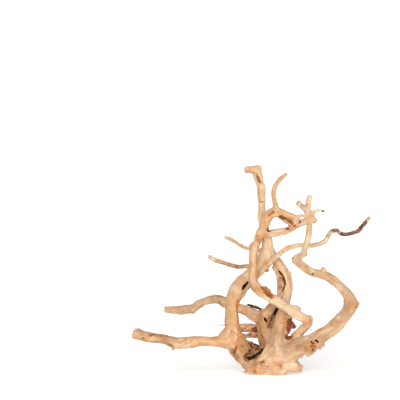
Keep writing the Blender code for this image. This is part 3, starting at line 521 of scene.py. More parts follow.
# Brown insides of holes, grooves and cracks
HOLES = {
    "groove": ((35.6, 1, 150), (1.9, 8, 9.5), -12, 1.0),
    "groove_high": ((30, 4, 161.8), (1.5, 8, 7.4), -43, 1.0),
    "groove_low": ((34.2, 1, 137), (1.3, 8, 7), 22, 0.75),
    "groove_line": ((29.5, 3, 153.8), (4, 6, 1.0), 4, 0.8),
    "loop_crevice": ((31.6, -16, 253.4), (2.8, 8, 7), 102, 1.0),
    "loop_crevice_right": ((44, -16, 246.6), (1.5, 8, 7), 124, 0.8),
    "crotch_hole": ((10, -10, 233.4), (3.6, 10, 3.0), 20, 1.0),
    "wart_hole_left": ((78.2, -38, 57.1), (1.8, 7, 1.8), 0, 1.0),
    "wart_hole_mid": ((80.9, -38, 54.4), (1.7, 7, 2.4), 80, 1.0),
    "wart_hole_right": ((86.6, -38, 59.8), (2.0, 7, 2.0), 0, 1.0),
    "wart_hole_beside": ((84, -38, 59.6), (1.5, 7, 1.3), 0, 0.9),
    "wart_hole_far": ((88.8, -38, 57.4), (1.5, 7, 1.9), -20, 1.0),
    "wart_hole_low": ((83.9, -38, 49.4), (1.9, 9, 2.0), 0, 1.0),
    "wart_hole_top": ((79.7, -37, 61.4), (1.0, 7, 1.7), -40, 0.8),
    "wart_foot": ((81.1, -37, 43), (2.3, 13, 4.6), 0, 1.0),
    "strut_end": ((-12, 9, 69.4), (3, 9, 5), 100, 0.9),
    "arch_heel": ((48, -40, 192.5), (1.4, 5, 1.7), 0, 1.0),
    "stub_spot": ((8, -5, 167), (1.8, 5, 1.8), 60, 0.8),
    "fork_foot": ((10.6, -8, 79), (1.6, 9, 6), 14, 0.9),
    "slot_flank": ((11.6, -9, 90), (2.0, 9, 9), 12, 0.6),
}
# Pale wood, rubbed smooth, and painted light: lighter where shade falls behind the front stem, along
# the front stem's shaded lower edge and on the pit floor
PALE_AND_PAINTED_LIGHT = {
    "toe": ((46, -20, 18), (12, 14, 13), 60, 0.7),
    "trunk_right": ((29, -10, 84), (6, 12, 13), 0, 0.5),
    "right_stem_high": ((16, 0, 192), (7, 12, 12), -20, 0.7),
    "crossing": ((-14, -20, 196), (6, 9, 14), 0, 0.5),
    "behind_front_stem": ((-2, 7, 178), (8, 13, 26), 0, 1.0),
    "upright": ((2, 10, 275), (7, 16, 50), 0, 0.5),
    "front_stem": ((38, -22, 110), (8, 12, 32), 122, 0.6),
    "long_twig": ((66, 6, 204), (36, 12, 6), 0, 0.7),
    "right_stem_top": ((12, 2, 205), (8, 14, 26), -10, 0.8),
    "elbow_side": ((76, -22, 80), (6, 16, 20), 20, 0.9),
    "right_stem": ((32, -2, 158), (9, 14, 32), -14, 0.5),
    "high_limb": ((-107, 42, 108), (46, 60, 20), 0, 0.4),
    "pit_floor": ((-21, 0, 33), (6, 16, 6.5), 0, 0.8),
}
# Soft, reddish, half-rotten wood
ROT = {
    "beside_elbow": ((46, -4, 78), (9, 12, 15), -8, 1.0),
    "below_elbow": ((42, -8, 61), (7, 10, 7), 20, 0.9),
    "low_strut": ((-12, 16, 42), (7, 12, 15), -62, 0.85),
    "middle_strut": ((-20, 14, 71), (6, 12, 18), 90, 0.45),
    "middle_strut_end": ((-10, 11, 69.6), (5, 10, 8), 95, 1.0),
    "thin_strut_end": ((-8, 9, 60), (4, 9, 7), 90, 0.7),
    "thin_strut": ((-18, 12, 61), (4, 10, 18), 90, 0.55),
    "pit_plank": ((-4, 8, 38.5), (5, 12, 9), 110, 0.8),
    "inner_strand": ((29, 4, 146), (5, 8, 18), 4, 0.4),
}
# Dead bark, still on the wood
BARK = {
    "twig_first": ((105.5, 24, 218), (4, 7, 6), 30, 0.5),
    "twig_bend": ((116, 29, 228), (9, 8, 5), 0, 0.85),
    "twig_middle": ((137, 37, 221), (17, 14, 6), 0, 1.0),
    "twig_rise": ((159, 47, 230), (6, 12, 15), 40, 1.0),
    "dead_twig": ((-11, 21, 104.5), (5, 10, 17), -72, 0.9),
}
# Nearly black places: painted shade in the insides of the slots and along the lower rim of the pit,
# where shade falls; and black spots under the low limb, at the strut's end, in the pit and on the dead twig
PAINTED_SHADE_AND_BLACK_SPOTS = {
    "left_stem_slot": ((-28, 4, 141.5), (2.2, 9.5, 9.4), 40, 1.0),
    "fork_slot_high": ((21.7, -6, 101.2), (3.0, 16, 9.6), 27, 1.0),
    "low_limb_under": ((-154.6, -36, 50.4), (1.7, 10, 3.4), 84, 0.9),
    "fork_slot_low": ((16, -6, 88), (2.6, 16, 9.6), 16, 0.9),
    "short_slot": ((5.5, -5, 87.5), (1.7, 8, 5), -34, 1.0),
    "pit_edge_left": ((-18.5, -5, 25.6), (3.2, 12, 6), 92, 1.0),
    "pit_edge_low": ((-11.5, -3, 27.8), (3.5, 13, 6.5), 62, 1.0),
    "pit_edge_right": ((-5, 3, 31.2), (2.2, 12, 6), 46, 1.0),
    "pit_edge_up": ((-0.6, -3, 38), (1.6, 12, 6.5), 26, 0.95),
    "pit_spot": ((-18.6, -7, 38.8), (2.8, 18, 5), 112, 1.0),
    "pit_edge_lip": ((-7.6, 8, 29.3), (2.4, 12, 5.5), 50, 1.0),
    "strut_end": ((-12.8, 9, 69.5), (2.6, 8, 4.4), 96, 0.45),
    "fork_slot_middle": ((18.4, -8, 94.6), (3.0, 16, 5.5), 18, 1.0),
    "pit_crack": ((-12, 2, 35), (1.1, 9, 5), 120, 0.6),
    "hole_edge": ((-8, 10, 43.4), (1.3, 12, 9), 108, 0.7),
    "dead_twig": ((-11, 21, 104.5), (4, 10, 17), -72, 0.62),
}

# How softly a patch fades at its edge, as a share of its size
CRISP = 0.35
SOFT = 0.6
PATCHES = {
    "scar": (SCARS, CRISP),
    "rot": (ROT, CRISP),
    "bark": (BARK, CRISP),
    "dark": (PAINTED_SHADE_AND_BLACK_SPOTS, CRISP),
    "knot": (KNOTS, CRISP),
    "ash": (ASH_AND_PAINTED_SHADE, SOFT),
    "veil": (VEIL_AND_PAINTED_SHADE, SOFT),
    "umber": (UMBER_AND_PAINTED_SHADE, SOFT),
    "honey": (HONEY, SOFT),
    "hole": (HOLES, CRISP),
    "pale": (PALE_AND_PAINTED_LIGHT, SOFT),
}


def linear(hex_colour):
    """An sRGB hex value such as ecc89e as linear red, green, blue and alpha."""
    parts = [int(hex_colour[i : i + 2], 16) / 255 for i in (0, 2, 4)]
    return [p / 12.92 if p <= 0.04045 else ((p + 0.055) / 1.055) ** 2.4 for p in parts] + [1.0]


def add_node(tree, kind, inputs=None, **settings):
    """A node with its settings; an input is a value, or a node or socket to link from."""
    made = tree.nodes.new(kind)
    for name, value in settings.items():
        setattr(made, name, value)
    for name, value in (inputs or {}).items():
        if isinstance(name, int):
            socket = made.inputs[name]
        else:
            socket = next(s for s in made.inputs if s.name == name and s.enabled)
        if isinstance(value, bpy.types.Node):
            value = next(s for s in value.outputs if s.enabled)
        if isinstance(value, bpy.types.NodeSocket):
            tree.links.new(value, socket)
        else:
            socket.default_value = value
    return made


def deselect():
    bpy.ops.object.select_all(action="DESELECT")


def take(thing):
    """Makes this object the only selected and active one."""
    deselect()
    thing.select_set(True)
    bpy.context.view_layer.objects.active = thing


def finish_modifier(thing, kind, **settings):
    """Adds a modifier by hand and applies it."""
    take(thing)
    bpy.ops.object.modifier_add(type=kind)
    modifier = thing.modifiers[-1]
    for name, value in settings.items():
        setattr(modifier, name, value)
    bpy.ops.object.modifier_apply(modifier=modifier.name)


# The limbs


def softening_loss(radius):
    """How much thinner the softening makes a limb of this radius."""
    return SOFTENING_PASSES * SOFTENING_STRENGTH * FUSING_GRAIN**2 / (4 * radius)


def smooth_route(points):
    """Points a ring's distance apart on a smooth curve through the route, with their radii."""
    stops = [Vector(p) for p in points]
    stops = [2 * stops[0] - stops[1]] + stops + [2 * stops[-1] - stops[-2]]
    route = []
    for before, start, end, after in zip(stops, stops[1:], stops[2:], stops[3:]):
        steps = max(2, math.ceil((end.xyz - start.xyz).length / RING_SPACING))
        for step in range(steps):
            t = step / steps
            route.append(
                0.5
                * (
                    2 * start
                    + (end - before) * t
                    + (2 * before - 5 * start + 4 * end - after) * t**2
                    + (3 * start - before - 3 * end + after) * t**3
                )
            )
    return route + [stops[-2]]


def add_limb(skin, points, number):
    """Adds a closed, slightly lobed and lumpy tube; returns the frame of each of its rings."""
    route = smooth_route(points)
    phase = number * LOBE_START
    across = Vector(RING_START)
    run = 0.0
    ring_before = None
    rings = []
    for index, stop in enumerate(route):
        ahead = route[min(index + 1, len(route) - 1)].xyz
        behind = route[max(index - 1, 0)].xyz
        along = (ahead - behind).normalized()
        across = (across - across.dot(along) * along).normalized()
        up = along.cross(across)
        run += (stop.xyz - behind).length
        lump = 1 + GNARL * noise.noise(Vector((run / GNARL_LENGTH, phase, 0)))
        radius = stop.w * lump + softening_loss(stop.w)
        ring = []
        for side in range(RING_SIDES):
            turn = math.tau * side / RING_SIDES
            twist = math.tau * LOBE_TWIST * run
            lobes = TWO_LOBES * math.cos(2 * turn + phase + twist)
            lobes += THREE_LOBES * math.cos(3 * turn + 2 * phase - twist)
            reach = radius * (1 + lobes)
            offset = across * math.cos(turn) + up * math.sin(turn)
            ring.append(skin.verts.new((stop.xyz + offset * reach) * MM))
        if ring_before is None:
            skin.faces.new(list(reversed(ring)))
        else:
            for side in range(RING_SIDES):
                after = (side + 1) % RING_SIDES
                skin.faces.new((ring_before[side], ring_before[after], ring[after], ring[side]))
        ring_before = ring
        rings.append([*stop.xyz, *along, *across, *up, stop.w, run, number])
    skin.faces.new(ring_before)
    return rings


def limb_bundle():
    """One mesh with every limb, still overlapping, and the frames of all their rings."""
    skin = bmesh.new()
    rings = []
    for number, points in enumerate(LIMBS.values()):
        rings += add_limb(skin, points, number)
    mesh = bpy.data.meshes.new("azalea_root_wood")
    skin.to_mesh(mesh)
    skin.free()
    wood = bpy.data.objects.new("azalea_root_wood", mesh)
    bpy.context.collection.objects.link(wood)
    return wood, np.array(rings)


def drop_scraps(wood):
    """Leaves only the largest body."""
    skin = bmesh.new()
    skin.from_mesh(wood.data)
    left = set(skin.verts)
    bodies = []
    while left:
        body = {left.pop()}
        edge = set(body)
        while edge:
            edge = {e.other_vert(v) for v in edge for e in v.link_edges} - body
            body |= edge
        left -= body
        bodies.append(body)
    bodies.sort(key=len)
    for body in bodies[:-1]:
        bmesh.ops.delete(skin, geom=list(body), context="VERTS")
    skin.to_mesh(wood.data)
    skin.free()


def carve_hollows(wood):
    """Cuts the slots, holes and pits with rounded cutters."""
    for centre, half_sizes, lean in HOLLOWS.values():
        deselect()
        bpy.ops.mesh.primitive_uv_sphere_add(
            segments=HOLLOW_SEGMENTS,
            ring_count=HOLLOW_RINGS,
            radius=1,
            location=Vector(centre) * MM,
            rotation=(0, math.radians(lean), 0),
            scale=Vector(half_sizes) * MM,
        )
        cutter = bpy.context.object
        finish_modifier(wood, "BOOLEAN", operation="DIFFERENCE", solver="EXACT", object=cutter)
        bpy.data.objects.remove(cutter)


def saw_foot(wood):
    """Cuts the foot flat."""
    take(wood)
    bpy.ops.object.mode_set(mode="EDIT")
    bpy.ops.mesh.select_all(action="SELECT")
    bpy.ops.mesh.bisect(plane_co=(0, 0, 0), plane_no=(0, 0, 1), use_fill=True, clear_inner=True)
    bpy.ops.object.mode_set(mode="OBJECT")


# What lies where on the skin


def nearest_limbs(points, rings, at_once=2000, far=1e3):
    """For each point: its nearest ring, and how much nearer that limb is than the next one."""
    centres = rings[:, 0:3]
    radii = rings[:, 12]
    numbers = rings[:, 14].astype(int)
    best = np.zeros(len(points), int)
    lead = np.zeros(len(points))
    for start in range(0, len(points), at_once):
        some = points[start : start + at_once]
        square = (some**2).sum(1)[:, None] + (centres**2).sum(1)[None] - 2 * some @ centres.T
        depth = np.sqrt(np.maximum(square, 0)) - radii[None]
        first = depth.argmin(1)
        rows = np.arange(len(some))
        nearest = depth[rows, first]
        depth[numbers[None] == numbers[first][:, None]] = far
        best[start : start + at_once] = first
        lead[start : start + at_once] = depth.min(1) - nearest
    return best, lead


def patch(points, places, softness):
    """How much of the named patches covers each point, from 0 to about 1."""
    cover = np.zeros(len(points))
    for centre, half_sizes, lean, strength in places.values():
        turn = math.radians(lean)
        local = points - np.array(centre)
        across = (local[:, 0] * math.cos(turn) - local[:, 2] * math.sin(turn)) / half_sizes[0]
        into = local[:, 1] / half_sizes[1]
        along = (local[:, 0] * math.sin(turn) + local[:, 2] * math.cos(turn)) / half_sizes[2]
        reach = np.sqrt(across**2 + into**2 + along**2)
        fade = np.clip((1 + softness - reach) / (2 * softness), 0, 1)
        cover = np.maximum(cover, strength * fade * fade * (3 - 2 * fade))
    return cover


def rough(points, size, seed):
    """Smooth noise from about -1 to 1 with lumps of this size."""
    shift = Vector((seed * 13.7, seed * 7.1, seed * 3.3))
    return np.array([noise.noise(Vector(p) / size + shift) for p in points])


def read_points(mesh):
    points = np.empty(len(mesh.vertices) * 3, np.float32)
    mesh.vertices.foreach_get("co", points)
    return points.reshape(-1, 3).astype(float) / MM


def read_normals(mesh):
    normals = np.empty(len(mesh.vertices) * 3, np.float32)
    mesh.vertex_normals.foreach_get("vector", normals)
    return normals.reshape(-1, 3).astype(float)


def grain_of(points, rings, best):
    """Each point's place in its limb, straightened out: along, and twice across, in mm."""
    ring = rings[best]
    offset = points - ring[:, 0:3]
    along = ring[:, 13] + (offset * ring[:, 3:6]).sum(1) + ring[:, 14] * GRAIN_JUMP
    side = (offset * ring[:, 6:9]).sum(1)
    rise = (offset * ring[:, 9:12]).sum(1)
    return np.stack([along, side, rise], 1)


def drawn_out(grain, turn, length, count, shift=0):
    """Smooth noise drawn out along the limbs, with lumps of this length and this many round."""
    spots = np.stack([grain[:, 0] / length + shift, count * np.cos(turn), count * np.sin(turn)], 1)
    return np.array([noise.noise(Vector(p)) for p in spots])


def write_value(mesh, name, values):
    attribute = mesh.attributes.new(name, "FLOAT", "POINT")
    attribute.data.foreach_set("value", values.astype(np.float32))


def write_vector(mesh, name, values):
    attribute = mesh.attributes.new(name, "FLOAT_VECTOR", "POINT")
    attribute.data.foreach_set("vector", values.astype(np.float32).ravel())


def weather(wood, rings):
    """Presses flutes, ridges and lumps into the skin, and notes what lies where for the finish."""
    mesh = wood.data
    points = read_points(mesh)
    normals = read_normals(mesh)
    best, lead = nearest_limbs(points, rings)
    grain = grain_of(points, rings, best)
    calm = np.clip(lead / FORK_CALM, 0, 1)
    thick = np.clip(rings[best, 12] / THICK_LIMB, *THICKNESS_SHARES)
    covers = {name: patch(points, *places) for name, places in PATCHES.items()}

    turn = np.arctan2(grain[:, 2], grain[:, 1]) + (grain[:, 0] * GRAIN_WIND + rings[best, 14])
    flutes = drawn_out(grain, turn, FLUTES[0], FLUTES[1])
    ridges = drawn_out(grain, turn, RIDGES[0], RIDGES[1], shift=5)
    lumps = rough(points, LUMPS[0], 1)
    grit = rough(points, GRIT[0], 2)
    buds = np.clip(rough(points, BUDS[0], 11) - BUDS[2], 0, BUDS[3])

    push = calm * thick * (FLUTES[2] * flutes + RIDGES[2] * ridges)
    push += thick * LUMPS[1] * lumps
    push += (GRIT[1] + GRIT[2] * thick) * grit
    push += thick * BUDS[1] * buds
    for name, (start, level, roughness, size, seed) in MARK_RELIEF.items():
        cover = np.clip(covers[name] - start, 0, 1)
        push += cover * (level + roughness * rough(points, size, seed))
    burl = np.clip((BURL_TOP - points[:, 2]) / BURL_FADE, 0, 1)
    burl *= (points[:, 0] > BURL_SPAN[0]) * (points[:, 0] < BURL_SPAN[1])
    folds = rough(points * np.array([0.6, 1, 1]), BURL_FOLDS[0], 6)
    push += burl * BURL_FOLDS[1] * folds
    push *= np.clip(points[:, 2] / FOOT_FLAT, 0, 1)
    points = points + normals * push[:, None]
    points[:, 2] = np.maximum(points[:, 2], 0)
    mesh.vertices.foreach_set("co", (points * MM).astype(np.float32).ravel())

    # How high each point stands, for the painted light on the ridges and painted shade in the valleys:
    # about -1 in the valleys and 1 on the ridges
    relief = calm * (0.5 * flutes + 0.9 * ridges) + 0.5 * lumps + 0.35 * grit
    relief += burl * 0.5 * folds

    write_vector(mesh, "grain", grain * MM)
    for name, cover in covers.items():
        write_value(mesh, name, cover)
    write_value(mesh, "relief", relief)


# Splinters and fibres

# Torn fibres and fine roots, placed one by one: start, end, radius at the start, sideways bend, and age
# from 0, fresh and pale, to 1, dark, all in mm
FIBRES = {
    "hair_root": ((-55, 2, 78.4), (-72.5, -2, 77.4), 0.8, 0.9, 1.0),
    "torn_end_first": ((-195, -44, 75.5), (-208.6, -46, 82.2), 0.8, 0.6, 0.3),
    "torn_end_second": ((-196, -43, 77), (-203.4, -44, 82), 0.9, -0.5, 0.45),
    "torn_end_third": ((-190, -42, 74.6), (-199.6, -43, 81.4), 1.3, 0.5, 0.45),
    "torn_end_fourth": ((-188, -43, 74), (-195, -44, 79.6), 1.1, 0.4, 0.4),
    "torn_end_low": ((-197, -45, 74), (-206.4, -46, 79.4), 0.7, 0.3, 0.25),
    "torn_end_fifth": ((-201, -45, 74), (-208.5, -46, 77.5), 0.8, 0.5, 0.2),
    "torn_end_sixth": ((-202, -44, 70), (-208.6, -44, 71.5), 0.8, -0.3, 0.3),
    "torn_end_seventh": ((-201, -43, 67), (-207.8, -43, 65), 0.9, 0.3, 0.4),
    "upright_head_first": ((-24, 14, 329), (-28.6, 14, 331), 0.8, 0.3, 0.4),
    "upright_head_second": ((-8, 18, 331), (-12.5, 17, 333), 0.9, 0.2, 0.5),
    "slanting_stub_first": ((58, -26, 280), (55.6, -27, 285), 0.9, 0.4, 0.5),
    "slanting_stub_second": ((59, -26, 281), (60.4, -27, 285.5), 0.8, -0.3, 0.3),
    "slanting_stub_third": ((56, -27, 278), (51.6, -27.5, 279.6), 0.8, 0.4, 0.6),
    "high_limb_first": ((-154, 62, 96), (-159, 63, 98.4), 0.9, 0.3, 0.4),
    "high_limb_second": ((-146, 60, 97.4), (-142, 60, 100.6), 0.6, 0.3, 0.4),
    "high_limb_under": ((-110, 45, 92), (-112, 45, 87), 1.0, 0.3, 0.5),
    "lower_twig_end": ((-83, -14, 192), (-87.4, -15.4, 194.6), 0.8, 0.2, 0.5),
    "upper_twig_end": ((-58, 27, 216.4), (-62.4, 29, 219), 0.7, 0.2, 0.4),
    "upper_twig_barb": ((-33, 14, 205), (-30, 13, 208), 0.6, 0.2, 0.5),
    "low_limb_under": ((-142, -32, 44.5), (-144, -33, 41.4), 0.9, 0.2, 0.7),
    "elbow_barb": ((76, -22, 76), (79.6, -23, 73.4), 0.8, 0.3, 0.5),
    "arch_barb": ((90, -34, 48), (93, -36, 43), 0.9, 0.3, 0.5),
    "burl_barb": ((62, -18, 30), (65, -19, 26.4), 0.9, 0.2, 0.4),
    "spur_barb": ((-26, -12, 5), (-30.6, -13, 4), 0.9, 0.2, 0.6),
    "bark_lip_first": ((1, -22, 142), (-2.4, -24, 144.4), 0.8, 0.3, 0.8),
    "bark_lip_second": ((6, -22, 142), (4.4, -24, 145), 0.8, 0.2, 0.8),
    "pit_root_first": ((-24, -8, 33), (-10, -1, 30), 0.7, 2.0, 0.9),
    "pit_root_second": ((-20, -6, 37), (-7, 1, 36), 0.6, 1.6, 0.7),
    "pit_root_third": ((-25, -10, 29), (-14, -4, 28.6), 0.6, -1.2, 0.8),
    "strut_root": ((-36, 6, 65), (-28, 10, 69), 0.5, 0.8, 0.8),
}
FIBRE_RINGS = 7
FIBRE_SIDES = 6
FIBRE_TAPER = 0.9  # share of the radius lost at the tip
FIBRE_FLATNESS = 0.7
# Short splinters scattered on worn places: how many, their length and thickness in mm, and age
SPLINTERS = {
    "rot": (150, (2.0, 4.6), (0.3, 0.62), (0.35, 1.0)),
    "bark": (70, (1.6, 3.4), (0.25, 0.5), (0.8, 1.0)),
    "scar": (40, (1.2, 2.4), (0.25, 0.45), (0.5, 1.0)),
    "knot": (26, (1.0, 2.0), (0.25, 0.4), (0.3, 0.6)),
}
SPLINTER_SEED = 11
WORN_ENOUGH = 0.45  # cover of a mark at which splinters stand on it
SPLINTER_FLOOR = 4.0  # mm above the floor where they start
SPLINTER_ROOT = 0.5  # mm sunk in the wood
SPLINTER_RISE = (0.35, 0.8)  # least and most that they stand up from the skin
SPLINTER_BEND = 0.4  # mm, to either side


def add_fibre(skin, age_layer, start, end, radius, bend, age):
    """A tapered, slightly bent fibre."""
    start = Vector(start)
    reach = Vector(end) - start
    along = reach.normalized()
    across = along.orthogonal().normalized()
    up = along.cross(across)
    ring_before = None
    for index in range(FIBRE_RINGS):
        t = index / (FIBRE_RINGS - 1)
        centre = start + reach * t + up * bend * math.sin(math.pi * t)
        girth = radius * (1 - FIBRE_TAPER * t**1.5)
        ring = []
        for side in range(FIBRE_SIDES):
            turn = math.tau * side / FIBRE_SIDES
            spot = centre + (across * math.cos(turn) + up * FIBRE_FLATNESS * math.sin(turn)) * girth
            corner = skin.verts.new(spot * MM)
            corner[age_layer] = age
            ring.append(corner)
        if ring_before is None:
            skin.faces.new(list(reversed(ring)))
        else:
            for side in range(FIBRE_SIDES):
                after = (side + 1) % FIBRE_SIDES
                skin.faces.new((ring_before[side], ring_before[after], ring[after], ring[side]))
        ring_before = ring
    skin.faces.new(ring_before)


def fray(wood):
    """Torn fibres, fine roots, and splinters on the rotten, barked and scarred places."""
    mesh = wood.data
    points = read_points(mesh)
    normals = read_normals(mesh)
    draw = np.random.default_rng(SPLINTER_SEED)
    skin = bmesh.new()
    age_layer = skin.verts.layers.float.new("age")
    for start, end, radius, bend, age in FIBRES.values():
        add_fibre(skin, age_layer, start, end, radius, bend, age)
    for name, (count, lengths, radii, ages) in SPLINTERS.items():
        cover = np.empty(len(points), np.float32)
        mesh.attributes[name].data.foreach_get("value", cover)
        worn = np.flatnonzero((cover > WORN_ENOUGH) & (points[:, 2] > SPLINTER_FLOOR))
        for spot in draw.choice(worn, count, replace=False):
            normal = Vector(normals[spot])
            lean = Vector(draw.normal(0, 1, 3))
            lean = (lean - lean.dot(normal) * normal).normalized()
            aim = (normal * draw.uniform(*SPLINTER_RISE) + lean).normalized()
            start = Vector(points[spot]) - normal * SPLINTER_ROOT
            end = start + aim * draw.uniform(*lengths)
            bend = draw.uniform(-SPLINTER_BEND, SPLINTER_BEND)
            add_fibre(skin, age_layer, start, end, draw.uniform(*radii), bend, draw.uniform(*ages))
    fibres_mesh = bpy.data.meshes.new("azalea_root_fibres")
    skin.to_mesh(fibres_mesh)
    skin.free()
    fibres = bpy.data.objects.new("azalea_root_fibres", fibres_mesh)
    bpy.context.collection.objects.link(fibres)
    take(fibres)
    bpy.ops.object.shade_smooth()
    fibres_mesh.materials.append(torn_fibre())
    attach(fibres, "root")
    return fibres


# Finishes

# Colour changes of the bare wood: which way they run, their size in mm, the noise levels between
# which they come in, how much they cover, and their colour
TINTS = {
    "tan": ("all ways", 30, (0.36, 0.64), 1.0, "c7a179"),
    "pink_cream": ("all ways", 44, (0.48, 0.64), 0.8, "caa68e"),
    "orange": ("half along", 12, (0.52, 0.72), 0.7, "c08a58"),
    "cream": ("half along", 8, (0.5, 0.68), 0.8, "dfc9a8"),
    "brown_cloud": ("all ways", 9, (0.54, 0.72), 0.58, "a47e59"),
    "mauve_cloud": ("all ways", 15, (0.56, 0.74), 0.5, "b48f80"),
    "broad_grain": ("along", 3.2, (0.53, 0.74), 0.4, "a07348"),
    "fine_grain": ("along", 1.3, (0.58, 0.8), 0.3, "8a5a33"),
}

# Marks: size in mm of their ragged edge, how ragged it is, then the colour and cover of the rim,
# the darker and lighter colour inside, the size of their mottle in mm, how much they cover, and
# where that cover starts and is full
MARKS = {
    "honey": (12, 0.8, ("c99d70", 0.0), ("b67d45", "cf9e6c"), 7, 0.66, (0.0, 1.0)),
    # veil: browner stretches, and painted shade in the middle and on the burl's left side
    "veil": (14, 0.6, ("b08a69", 0.0), ("9a6e4c", "b88e69"), 8, 0.75, (0.0, 1.1)),
    # umber: painted shade in the hollows and between the limbs, and olive-brown stain
    "umber": (9, 0.6, ("b58c60", 0.0), ("80522a", "ad7c49"), 5, 0.92, (0.0, 1.0)),
    # ash: grey wood, and painted shade in the hollows and on the undersides
    "ash": (9, 0.6, ("c0a080", 0.0), ("987455", "b5947a"), 5, 0.9, (0.0, 1.0)),
    # pale: rubbed wood, and painted light where shade falls behind the front stem and on the pit floor
    "pale": (10, 0.5, ("dcc09a", 0.0), ("d6b48e", "e4c8a4"), 7, 0.7, (0.0, 1.1)),
    "knot": (4, 1.0, ("c48b56", 0.6), ("9e562b", "c07d47"), 3, 0.92, (0.34, 0.66)),
    "scar": (2.6, 1.1, ("ad6d3b", 0.8), ("56280f", "a0622f"), 2.2, 0.95, (0.34, 0.66)),
    "hole": (2.2, 0.5, ("a2692f", 0.75), ("5e3012", "97581f"), 1.8, 0.93, (0.34, 0.66)),
    "rot": (4, 1.0, ("a8643c", 0.7), ("3d1208", "ac5c38"), 2.4, 0.97, (0.34, 0.66)),
    "bark": (4, 0.9, ("a1694b", 0.6), ("42201a", "8c5949"), 2.6, 0.95, (0.34, 0.66)),
    # dark: painted shade, nearly black, in the slots and along the pit's lower rim
    "dark": (2.6, 0.8, ("6b3d20", 0.85), ("120a07", "2a170d"), 3, 0.98, (0.34, 0.66)),
}
DULL_MARKS = ("scar", "rot", "bark")

# Painted light on the ridges and painted shade in the valleys between them: the relief between which
# they come in, how much they cover, and their colour
RIDGE_PAINTED_LIGHT = ((0.15, 0.9), 0.3, "dfc8a7")
VALLEY_PAINTED_SHADE = ((-0.15, -0.9), 0.45, "94653c")


